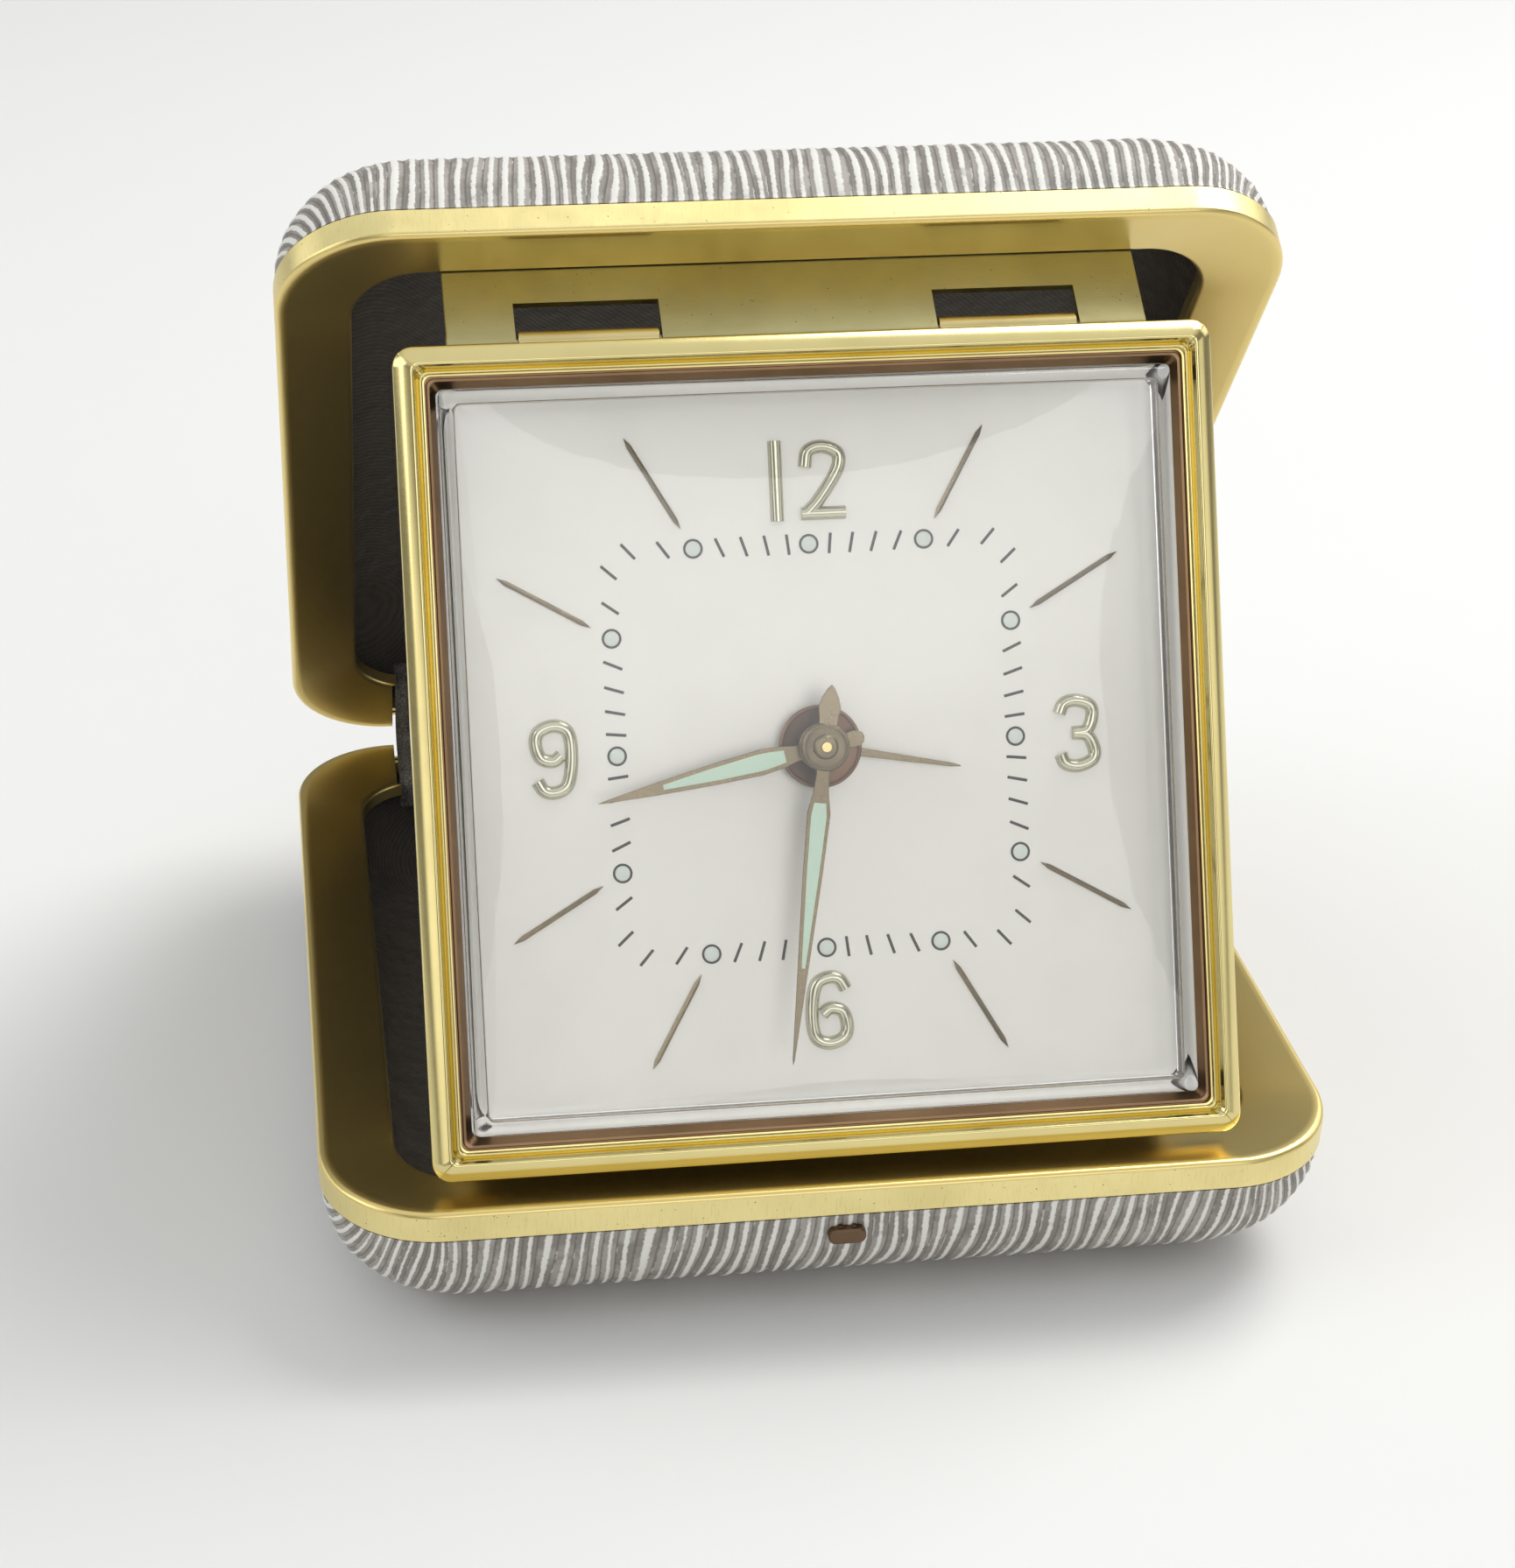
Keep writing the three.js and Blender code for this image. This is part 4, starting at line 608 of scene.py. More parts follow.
BRASS = Metal(
    (0.80, 0.64, 0.26), (0.55, 0.42, 0.15), 0.1, 0.27, 0.0, (5, 0.5, 5), 0.0003, cloud=0.05, brushed=0.03)
BAND = Metal((0.88, 0.76, 0.36), (0.50, 0.40, 0.14), 0.25, 0.30, 0.14, (7, 7, 0.5), 0.003, 0.13, brushed=0.3)
BEZEL = Metal((0.78, 0.67, 0.31), (0.46, 0.38, 0.14), 0.15, 0.13, 0.03, (4, 4, 4), 0.0004, brushed=0.02)
INNER = Metal((0.32, 0.20, 0.11), (0.16, 0.09, 0.05), 0.3, 0.26, 0.06, (4, 4, 4), 0.002)
PLATE = Metal((0.52, 0.48, 0.25), (0.30, 0.26, 0.11), 0.35, 0.30, 0.14, (0.5, 5, 5), 0.003, 0.12)
ROLLED = Metal((0.76, 0.64, 0.31), (0.46, 0.35, 0.14), 0.3, 0.26, 0.12, (0.6, 6, 6), 0.003)
WHEEL = Metal((0.80, 0.65, 0.30), (0.48, 0.35, 0.13), 0.3, 0.22, 0.1, (5, 5, 0.5), 0.003)
STEEL = Metal((0.56, 0.56, 0.57), (0.30, 0.28, 0.27), 0.3, 0.24, 0.12, (6, 0.5, 6), 0.003)
BLUED = Metal((0.16, 0.17, 0.22), (0.10, 0.09, 0.10), 0.4, 0.3, 0.12, (6, 0.5, 6), 0.003)
BRONZE = Metal((0.20, 0.13, 0.08), (0.10, 0.06, 0.035), 0.5, 0.3, 0.15, (1, 5, 5), 0.004)
HOUSING = Metal((0.66, 0.54, 0.27), (0.40, 0.30, 0.13), 0.35, 0.33, 0.15, (0.5, 5, 0.5), 0.004, 0.09)
KNOB = Metal((0.84, 0.68, 0.30), (0.52, 0.39, 0.14), 0.3, 0.2, 0.12, (5, 5, 0.6), 0.003, 0.06)
NUMERAL = Metal((0.62, 0.60, 0.46), (0.32, 0.29, 0.18), 0.2, 0.06, 0.05, (4, 4, 4), 0.0006)
BAR = Metal((0.25, 0.20, 0.12), (0.15, 0.11, 0.06), 0.25, 0.16, 0.08, (4, 4, 4), 0.001)
HAND = Metal((0.23, 0.185, 0.115), (0.12, 0.09, 0.055), 0.4, 0.22, 0.1, (5, 0.5, 5), 0.002)
# Tinned steel made near-white, partly painted light: its colour stands in for the white dial seen through the
# crystal's walls.
TINNED_AND_PAINTED_LIGHT = Metal((0.93, 0.92, 0.90), (0.80, 0.79, 0.76), 0.2, 0.45, 0.12, (4, 4, 4), 0.002)
ALARM_HUB = Metal((0.24, 0.14, 0.09), (0.13, 0.07, 0.05), 0.4, 0.26, 0.1, (5, 5, 5), 0.002)


@dataclass(frozen=True)
class Cloth:
    """A fine twill."""

    colour: Colour = (0.105, 0.098, 0.092)
    light: Colour = (0.185, 0.172, 0.160)
    pitch: float = 0.42
    depth: float = 0.06

    def material(self, name: str, space: Space) -> Material:
        """Returns the cloth's material."""
        g = Graph(name, space)
        point = g.place()
        x, y, z = g.split(point)
        wobble = g.times(g.noise(point, 0.7, 2), 0.5)
        across = g.plus(g.plus(x, z), wobble)
        along = g.plus(y, z)
        turn = FULL_TURN / self.pitch
        ridge = g.math("SINE", g.times(g.plus(across, along), turn * 0.72))
        thread = g.math("SINE", g.times(g.minus(across, along), turn * 1.5))
        weave = g.scaled(thread, 0.35, ridge)
        weave = g.scaled(weave, 0.35, 0.5)
        fuzz = g.noise(point, 6, 3, 0.7)
        worn = g.noise(point, 0.16, 3)
        share = g.scaled(fuzz, 0.7, g.scaled(weave, 0.55, -0.25))
        colour = g.blend(share, self.colour, self.light)
        colour = g.blend(g.between(worn, 0.35, 0.75, 0, 0.35), colour, self.light)
        height = g.scaled(fuzz, 0.8, weave)
        soft = g.bump(g.noise(point, 0.35, 2), 0.5)
        return g.principled(
            Base_Color=colour, Roughness=0.92, Specular_IOR_Level=0.2, Sheen_Weight=0.35,
            Sheen_Roughness=0.5, Normal=g.bump(height, self.depth, soft))


@dataclass(frozen=True)
class Ribbed:
    """The case's covering: grey ribs with white lines that break off here and there."""

    grey: Colour = (0.42, 0.395, 0.36)
    taupe: Colour = (0.255, 0.235, 0.21)
    white: Colour = (0.80, 0.785, 0.745)
    half_line: float = 0.17

    def material(self, name: str, space: Space) -> Material:
        """Returns the covering's material, which follows the mesh's rib numbers."""
        g = Graph(name, space)
        rib = g.node("ShaderNodeAttribute")
        rib.attribute_name = "rib"
        place = rib.outputs["Fac"]
        number = g.math("FLOOR", place)
        within = g.minus(place, number)
        point = g.place()
        y, z = g.split(point)[1:]
        dice = g.node("ShaderNodeTexWhiteNoise")
        dice.noise_dimensions = "1D"
        g.put(dice.inputs["W"], number)
        chance = dice.outputs["Value"]
        along = [g.times(item, 0.13) for item in (y, z)]
        run = g.join(g.times(number, 5.3), *along)
        breaks = g.noise(run, 1, 4, 0.75)
        grain = g.noise(g.place((1, 0.22, 1)), 3.2, 4, 0.7)
        ragged = g.scaled(g.minus(grain, 0.5), 0.3, within)
        width = g.scaled(chance, 0.07, self.half_line - 0.035)
        width = g.scaled(g.minus(breaks, 0.5), 0.22, width)
        line = g.math("ABSOLUTE", g.minus(ragged, LINE_IN_RIB))
        line = g.between(g.minus(line, width), -0.05, 0.04, 1, 0)
        faint = g.between(g.plus(breaks, g.times(chance, 0.12)), 0.36, 0.44, 0.45, 1)
        line = g.times(line, faint)
        thin = g.math("ABSOLUTE", g.minus(ragged, 0.9))
        thin = g.between(g.minus(thin, 0.035), -0.03, 0.04, 1, 0)
        thin = g.times(thin, g.between(breaks, 0.44, 0.38))
        groove = g.between(g.math("ABSOLUTE", g.minus(ragged, 0.96)), 0.03, 0.14, 0.8, 0)
        colour = g.blend(g.between(g.noise(run, 2.3, 3), 0.4, 0.6), self.grey, self.taupe)
        colour = g.blend(g.times(grain, 0.4), colour, self.taupe)
        colour = g.blend(groove, colour, tuple(c * 0.6 for c in self.taupe))
        colour = g.blend(g.times(thin, 0.6), colour, self.white)
        colour = g.blend(line, colour, self.white)
        height = g.scaled(line, 0.7, g.times(grain, 0.5))
        return g.principled(
            Base_Color=colour, Roughness=g.scaled(grain, 0.2, 0.42), Specular_IOR_Level=0.4,
            Normal=g.bump(height, 0.06))


@dataclass(frozen=True)
class Leather:
    """A grained leatherette with faint ribs across the hinge."""

    colour: Colour = (0.215, 0.205, 0.195)
    crease: Colour = (0.075, 0.07, 0.066)

    def material(self, name: str, space: Space) -> Material:
        """Returns the leatherette's material."""
        g = Graph(name, space)
        point = g.place()
        x = g.split(point)[0]
        grain = g.cells(point, 2.6, "DISTANCE_TO_EDGE")
        pore = g.between(grain, 0.0, 0.14)
        cloud = g.noise(point, 0.5, 4, 0.6)
        bent = g.scaled(cloud, 0.5, x)
        ribs = g.scaled(g.math("SINE", g.times(bent, FULL_TURN / 1.3)), 0.5, 0.5)
        colour = g.blend(g.times(pore, g.scaled(ribs, 0.35, 0.65)),
                         self.crease, self.colour)
        colour = g.blend(g.between(cloud, 0.5, 0.75, 0, 0.5), colour, tuple(c * 1.7 for c in self.colour))
        height = g.scaled(pore, 0.5, ribs)
        return g.principled(
            Base_Color=colour, Roughness=g.scaled(cloud, 0.25, 0.38),
            Specular_IOR_Level=0.45, Normal=g.bump(height, 0.09))


@dataclass(frozen=True)
class Paint:
    """A printed or filled surface."""

    colour: Colour
    shade: Colour
    rough: float = 0.5
    metal: float = 0.0
    grain: float = 5.0
    depth: float = 0.01
    stretch: tuple[float, float, float] = (1, 1, 1)
    mottle: float = 0.35

    def material(self, name: str, space: Optional[Space] = None) -> Material:
        """Returns the painted material."""
        g = Graph(name, space)
        point = g.place()
        fine = g.noise(g.place(self.stretch), self.grain, 3, 0.65)
        cloud = g.noise(point, 0.12, 3)
        colour = g.blend(g.times(fine, self.mottle), self.colour, self.shade)
        colour = g.blend(g.between(cloud, 0.4, 0.8, 0, self.mottle), colour, self.shade)
        return g.principled(
            Base_Color=colour, Metallic=self.metal, Roughness=g.scaled(fine, 0.12, self.rough),
            Normal=g.bump(fine, self.depth))


DIAL = Paint((0.83, 0.81, 0.755), (0.73, 0.71, 0.655), 0.34, 0.3, 2.2, 0.004, (6, 0.5, 6), 0.45)
INK = Paint((0.015, 0.014, 0.013), (0.03, 0.028, 0.025), 0.4, 0.0, 4)
LUME = Paint((0.66, 0.84, 0.69), (0.50, 0.68, 0.52), 0.6, 0.0, 5, 0.03)
DOT = Paint((0.78, 0.84, 0.77), (0.62, 0.68, 0.60), 0.3, 0.0, 5, 0.02)


@dataclass(frozen=True)
class Glass:
    """Clear moulded glass with faint wipe marks."""

    tint: Colour = (0.985, 0.99, 0.99)

    def material(self, name: str, space: Space) -> Material:
        """Returns the glass, which lets the lamps' light through."""
        g = Graph(name, space)
        point = g.place((1, 0.3, 1))
        wipe = g.noise(point, 0.5, 4, 0.6, 1.0)
        rough = g.between(wipe, 0.5, 0.8, 0.0, 0.03)
        clear = g.node(
            "ShaderNodeBsdfPrincipled", Base_Color=self.tint, Roughness=rough, IOR=1.49,
            Transmission_Weight=1.0, Normal=g.bump(g.noise(point, 0.25, 2), 0.01)).outputs[0]
        through = g.node("ShaderNodeBsdfTransparent", Color=self.tint).outputs[0]
        shadow = g.node("ShaderNodeLightPath").outputs["Is Shadow Ray"]
        mixed = g.node("ShaderNodeMixShader", Fac=shadow)
        g.put(mixed.inputs[1], clear)
        g.put(mixed.inputs[2], through)
        return g.surface(mixed.outputs[0])


@dataclass
class Workshop:
    """Turns meshes into finished pieces of the model.

    Attributes:
        spaces: the frames by name.
        materials: what was made so far, so that a frame's pieces share their materials.
    """

    spaces: dict[str, Space]
    materials: dict[tuple[str, str], Material] = field(default_factory=dict)

    def coat(self, name: str, finish: object, space: Space) -> Material:
        """Returns the material of a finish, laid out in the frame of a sub-assembly."""
        key = (name, next(k for k, known in self.spaces.items() if known.matrix == space.matrix))
        if key not in self.materials:
            self.materials[key] = finish.material("_".join(key), space)
        return self.materials[key]

    def shape(self, name: str, bm: BMesh, space: Space, coats: Coats, crease: float) -> Object:
        """Makes an object of a mesh, with its sharp edges and its materials.

        Args:
            name: name of the object.
            bm: the mesh, in millimetres of its frame; it is freed.
            space: the frame.
            coats: names and finishes of the materials, in the order of the faces' numbers.
            crease: the angle in degrees above which an edge stays sharp.

        Returns:
            The object.
        """
        limit = math.radians(crease)
        for face in bm.faces:
            face.smooth = True
        for edge in bm.edges:
            edge.smooth = len(edge.link_faces) == 2 and edge.calc_face_angle(0) < limit
        bmesh.ops.transform(bm, matrix=space.to_world(), verts=bm.verts)
        mesh = bpy.data.meshes.new(name)
        bm.to_mesh(mesh)
        bm.free()
        made = bpy.data.objects.new(name, mesh)
        bpy.context.scene.collection.objects.link(made)
        for key, finish in coats:
            mesh.materials.append(self.coat(key, finish, space))
        log.info("%s: %d faces", name, len(mesh.polygons))
        return made

    def finish(
            self, name: str, bm: BMesh, space: Space, slot: str, coats: Coats, replaces: Sequence[str] = (),
            crease: float = 30, weighted: bool = True) -> None:
        """Makes a piece that rides on one body.

        Args:
            name: name of the piece.
            bm: the mesh, in millimetres of its frame; it is freed.
            space: the frame, and the body that the piece rides on.
            slot: the record's material slot; it is not used.
            coats: names and finishes of the materials, in the order of the faces' numbers.
            replaces: the model's nodes that the piece stands for.
            crease: the angle in degrees above which an edge stays sharp.
            weighted: True to keep flat faces flat.
        """
        made = self.shape(name, bm, space, coats, crease)
        if weighted:
            modifier = made.modifiers.new("flats", "WEIGHTED_NORMAL")
            modifier.keep_sharp = True
        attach(made, space.body)
        if replaces:
            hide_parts(*replaces)


def number_faces(bm: BMesh, number: int, chosen: Callable[[BMFace], bool]) -> None:
    """Gives some faces another of the piece's materials."""
    for face in bm.faces:
        if chosen(face):
            face.material_index = number


@dataclass(frozen=True)
class Layer:
    """One of the sheets that a tray is made of.

    Attributes:
        outer: how far its outer face lies inside the covering's.
        inner: how far its inner face does.
        top: height of its edge.
        steps: steps of the turn from the wall to the floor.
        corner_steps: steps of the corners in plan.
    """

    outer: float
    inner: float
    top: float
    steps: int
    corner_steps: int = 12


@dataclass
class Tray:
    """One half of the case: its covering, shell, brass rim, lining and hinge leaf.

    Attributes:
        side: which half it is.
        space: its frame.
        centre_y: distance from the hinge to the middle of the tray.
        half_x: half its width.
        half_y: half its depth.
        corner: radius of its corners in plan.
        bottom: height of its underside.
        wall_top: height at which the wall starts to turn in.
        spread: how far the turn reaches inwards.
        margin: how far the covering stands back from the rim's outline.
        covering: the ribbed sheet on the outside.
        pan: the sheet metal under it.
        lining: the cloth inside.
        rib_pitch: distance from rib to rib.
        rib_depth: depth of the grooves between them.
        fine: width of the columns that the ribs are pressed from.
        coarse: distance between the other cuts.
    """

    side: Side
    space: Space
    centre_y: float = 40.6
    half_x: float = 41.0
    half_y: float = 39.0
    corner: float = 9.5
    bottom: float = -13.5
    wall_top: float = -3.0
    spread: float = 11.4
    margin: float = 0.05
    covering: Layer = Layer(0.0, 0.5, -2.65, 52)
    pan: Layer = Layer(0.65, 1.15, -1.6, 14)
    lining: Layer = Layer(1.3, 1.7, -2.9, 22, 16)
    rib_pitch: float = 1.25
    rib_depth: float = 0.24
    fine: float = 0.25
    coarse: float = 3.0

    @property
    def plan(self) -> RoundedPlan:
        """The outline of the tray."""
        return RoundedPlan(self.centre_y, self.half_x, self.half_y, self.corner)

    @property
    def front(self) -> float:
        """How far from the hinge the tray's front is."""
        return self.centre_y + self.half_y

    def rows(self) -> list[float]:
        """Returns where the sheets are cut from side to side, going from back to front."""
        back = self.centre_y - self.half_y
        return [back + self.coarse * step for step in range(1, int(2 * self.half_y / self.coarse))]

    def bowl(self, offset: float, layer: Layer) -> list[Pair]:
        """Returns the profile of one face of a layer: its wall and the turn into the flat floor.

        Args:
            offset: distance inwards from the covering's outer face.
            layer: gives the height of the edge and the steps of the turn.
        """
        start = self.margin + offset
        across = self.spread - offset
        down = self.wall_top - self.bottom - offset
        profile = [(start, layer.top)]
        for step in range(layer.steps + 1):
            angle = QUARTER_TURN * step / layer.steps
            profile.append((start + across * (1 - math.cos(angle)), self.wall_top - down * math.sin(angle)))
        return profile

    def pressed(self, layer: Layer) -> BMesh:
        """Returns the closed mesh of one layer."""
        outer = self.bowl(layer.outer, layer)
        inner = self.bowl(layer.inner, layer)
        return replace(self.plan, steps=layer.corner_steps).loft(inner[::-1] + outer, closed=False)

    def build(self, shop: Workshop) -> None:
        """Makes all the pieces of the tray."""
        self.cover(shop)
        self.shell(shop)
        self.rim(shop)
        self.line(shop)
        self.leaf(shop)

    def cover(self, shop: Workshop) -> None:
        """Makes the ribbed covering."""
        bm = self.pressed(self.covering)
        split_caps(bm)
        reach = self.half_x + 0.5
        columns = [-reach + self.fine * step for step in range(int(2 * reach / self.fine) + 1)]
        slice_across(bm, 0, columns, lambda face: face.normal.z < 0.3)
        slice_across(bm, 1, self.rows(), lambda face: face.normal.z < -0.9 or abs(face.normal.x) > 0.3)
        self.number_ribs(bm)
        self.press_grooves(bm)
        name = self.side.value
        ribs = Ribbed(half_line=0.2 if self.side is Side.UPPER else 0.16)
        shop.finish(
            f"{name}_covering", bm, self.space, "striped_cover", [(f"{name}_ribs", ribs)],
            [f"{name}_cover"], crease=50, weighted=False)

    def number_ribs(self, bm: BMesh) -> None:
        """Writes on each point the number of the rib that it is on, which sways along the sheet."""
        layer = bm.verts.layers.float.new("rib")
        first_rib, slant = 400, 0.09
        shift = Vector((0, 0, 31 if self.side is Side.UPPER else 0))
        for vert in bm.verts:
            x, y, z = vert.co
            sway = 0.7 * noise.noise(Vector((x * 0.05, y * 0.06, z * 0.06)) + shift)
            sway += 0.55 * noise.noise(Vector((x * 0.31, y * 0.09, z * 0.13)) + shift)
            place = self.draped(vert.co) + sway + slant * z + first_rib * self.rib_pitch
            vert[layer] = place / self.rib_pitch

    def press_grooves(self, bm: BMesh) -> None:
        """Presses the grooves between the ribs into the outer face, below the rim's edge."""
        layer = bm.verts.layers.float["rib"]
        flat_edge = -2.9
        bm.normal_update()
        outside = {vert for face in bm.faces if self.is_outside(face) for vert in face.verts}
        for vert in outside:
            if vert.co.z > flat_edge:
                continue
            rib, within = divmod(vert[layer], 1)
            crown = 0.5 + 0.5 * math.cos(FULL_TURN * (within - LINE_IN_RIB))
            worn = 0.6 + 0.4 * noise.noise(Vector((rib * 3.1, vert.co.y * 0.1, 0)))
            vert.co += -vert.normal * self.rib_depth * (1 - crown * worn)

    def draped(self, point: Vector) -> float:
        """Returns how far across the covering a point was before the sheet was folded over the tray."""
        turn = math.asin(min(max((self.wall_top - point.z) / (self.wall_top - self.bottom), 0.0), 1.0))
        length = 10.95 * (math.pi / 2 - turn) + max(0.0, point.z - self.wall_top)
        across = max(abs(point.x) - self.half_x + self.corner, 0.0)
        along = max(abs(point.y - self.centre_y) - self.half_y + self.corner, 0.0)
        if across < 1e-6:
            return point.x
        share = across / math.hypot(across, along)
        return point.x + math.copysign((length - self.spread * math.cos(turn)) * share, point.x)

    def is_outside(self, face: BMFace) -> bool:
        """Tells whether a face of the covering is on the outer surface."""
        centre = face.calc_center_median()
        away = Vector((centre.x, centre.y - self.centre_y, centre.z - self.wall_top))
        return face.normal.dot(away) > 0 and face.normal.z < 0.2

    def shell(self, shop: Workshop) -> None:
        """Makes the sheet-metal shell between covering and lining."""
        bm = self.pressed(self.pan)
        if self.side is Side.LOWER:
            bm = carved(bm, [self.catch_window(2.2)])
        shop.finish(
            f"{self.side.value}_pan", bm, self.space, "pale_brass", [("pale", BAND)],
            [f"{self.side.value}_shell"])

    def catch_window(self, depth: float) -> BMesh:
        """Returns the cutter of the hole that the catch button stands in."""
        half, low, high = 1.75, -5.3, -3.5
        return block((-half, self.front - depth, low), (half, self.front + 1, high))

    def rim(self, shop: Workshop) -> None:
        """Makes the brass rim: a skirt, a crest, a flange that falls inwards, and its rolled edge."""
        sheet, width, fall, skirt, lip, crown = 0.45, 6.15, 1.0, -2.5, -2.4, 0.95
        inward, centre = width - sheet, -fall - sheet
        crest = arc((sheet, -sheet), (sheet, sheet), 180, 90, 8)
        roll = arc((inward, centre), (sheet, sheet), 90, 0, 6)
        outer = [(0.0, skirt), *crest, (crown, 0.0), *roll, (width, lip)]
        inner = [(inward, lip), (inward, centre), (crown, -sheet), (sheet, -sheet), (sheet, skirt)]
        bm = replace(self.plan, steps=16).loft(outer + inner, closed=True)
        bm = carved(bm, self.notches())
        bm.normal_update()
        number_faces(bm, 1, lambda face: self.is_band(face, skirt))
        shop.finish(
            f"{self.side.value}_brass_rim", bm, self.space, "polished_brass",
            [("brass", BRASS), ("band", BAND)], [f"{self.side.value}_rim"], crease=38)

    def notches(self) -> list[BMesh]:
        """Returns the cutters of the rim's notch for the hinge and, in the lid, of the plate's slot."""
        half, end = 31.3, 8.05
        cutters = [
            block((-half, -1, -1.5), (half, end, 1)),
            block((-half, 2.2, -3.4), (half, end, 0.5))]
        if self.side is Side.UPPER:
            cutters.append(block((-28, 72.05, -4.2), (28, 73.8, 1)))
        return cutters

    def is_band(self, face: BMFace, skirt: float) -> bool:
        """Tells whether a face of the rim is on the upright band round the outside."""
        centre = face.calc_center_median()
        return abs(face.normal.z) < 0.3 and centre.z > skirt and self.edge_distance(centre) < 0.12

    def edge_distance(self, point: Vector) -> float:
        """Returns how far inside the outline a point lies."""
        across = abs(point.x) - (self.half_x - self.corner)
        along = abs(point.y - self.centre_y) - (self.half_y - self.corner)
        if across > 0 and along > 0:
            return self.corner - math.hypot(across, along)
        return self.corner - max(across, along)

    def line(self, shop: Workshop) -> None:
        """Makes the cloth lining, with the slight puckers of its floor and its turns."""
        bm = self.pressed(self.lining)
        split_caps(bm)
        half_count = int(self.half_x / self.coarse)
        columns = [self.coarse * step for step in range(-half_count, half_count + 1)]
        for axis, places in ((0, columns), (1, self.rows())):
            slice_across(bm, axis, places, lambda face: face.normal.z > 0.9)
        bm.normal_update()
        height, top = 0.16, -3.2
        for vert in bm.verts:
            if vert.normal.z > 0.02 and vert.co.z < top:
                pucker = noise.noise(Vector((vert.co.x * 0.16, vert.co.y * 0.16, vert.co.z * 0.1)))
                vert.co += vert.normal * height * (0.5 + pucker)
        if self.side is Side.LOWER:
            bm = carved(bm, [self.catch_window(2.6)])
        shop.finish(
            f"{self.side.value}_cloth", bm, self.space, "lining_cloth", [("twill", Cloth())],
            [f"{self.side.value}_lining"], crease=60, weighted=False)

    def leaf(self, shop: Workshop) -> None:
        """Makes the hinge leaf: its knuckles and the angled sheet under the strip."""
        half, knuckles, gap, radius, bore_radius = 23.0, 5, 0.2, 1.15, 0.6
        pitch = 2 * half / knuckles
        owned = (0, 2, 4) if self.side is Side.LOWER else (1, 3)
        parts, room = [], []
        for number in range(knuckles):
            start = -half + number * pitch + gap / 2
            if number in owned:
                parts.append(cross_rod(radius, start, start + pitch - gap, 0, 0, 0.1))
            else:
                room.append(block((start - gap, -2, -1.4), (start + pitch, 1.35, 1.4)))
        sheet = gathered(
            block((-half, 0.4, -radius), (half, 3.45, -0.65)),
            block((-half, 2.95, -2.65), (half, 3.45, -radius)))
        bore = cross_rod(bore_radius, -half - 1, half + 1, 0, 0, 0.01)
        knuckle = carved(gathered(*parts), [bore])
        shop.finish(
            f"{self.side.value}_hinge_knuckles", gathered(knuckle, carved(sheet, room)), self.space,
            "polished_brass", [("rolled", ROLLED)], [f"{self.side.value}_hinge_leaf"])


def split_caps(bm: BMesh) -> None:
    """Splits the flat floors of a pan into triangles, which can be cut evenly."""
    floors = [face for face in bm.faces if len(face.verts) > 4]
    bmesh.ops.triangulate(bm, faces=floors)


def slice_across(bm: BMesh, axis: int, places: Sequence[float], wanted: Callable[[BMFace], bool]) -> None:
    """Cuts the wanted faces at each of the places along an axis.

    Args:
        bm: the mesh.
        axis: 0 for x and 1 for y.
        places: where to cut, in rising order.
        wanted: picks the faces that are cut.
    """
    normal = Vector((0, 0, 0))
    normal[axis] = 1
    bm.normal_update()
    ahead = {face for face in bm.faces if wanted(face)}
    for place in places:
        point = Vector((0, 0, 0))
        point[axis] = place
        past, short = place + SAME_PLACE, place - SAME_PLACE
        ahead = {face for face in ahead if max(vert.co[axis] for vert in face.verts) > past}
        crossed = [face for face in ahead if min(vert.co[axis] for vert in face.verts) < short]
        if not crossed:
            continue
        ahead.difference_update(crossed)
        edges = list({edge for face in crossed for edge in face.edges})
        verts = list({vert for face in crossed for vert in face.verts})
        made = bmesh.ops.bisect_plane(
            bm, geom=crossed + edges + verts, dist=1e-5, plane_co=point, plane_no=normal)["geom"]
        ahead.update(item for item in made if isinstance(item, BMFace))


def along_x(bm: BMesh) -> BMesh:
    """Turns a slab that was drawn in x and y and stood up in z, so that it lies along x."""
    matrix = Matrix(((0, 0, 1), (1, 0, 0), (0, 1, 0)))
    bmesh.ops.transform(bm, matrix=matrix.to_4x4(), verts=bm.verts)
    bmesh.ops.recalc_face_normals(bm, faces=bm.faces)
    return bm


def smooth_path(points: Sequence[Vector], steps: int) -> list[Vector]:
    """Rounds a path by drawing a curve through its points."""
    ends = [points[0] * 2 - points[1], *points, points[-1] * 2 - points[-2]]
    path = []
    for index in range(1, len(ends) - 2):
        before, here, after, beyond = ends[index - 1:index + 3]
        for step in range(steps):
            t = step / steps
            path.append(0.5 * (
                2 * here + (after - before) * t + (2 * before - 5 * here + 4 * after - beyond) * t ** 2
                + (3 * here - before - 3 * after + beyond) * t ** 3))
    path.append(points[-1].copy())
    return path


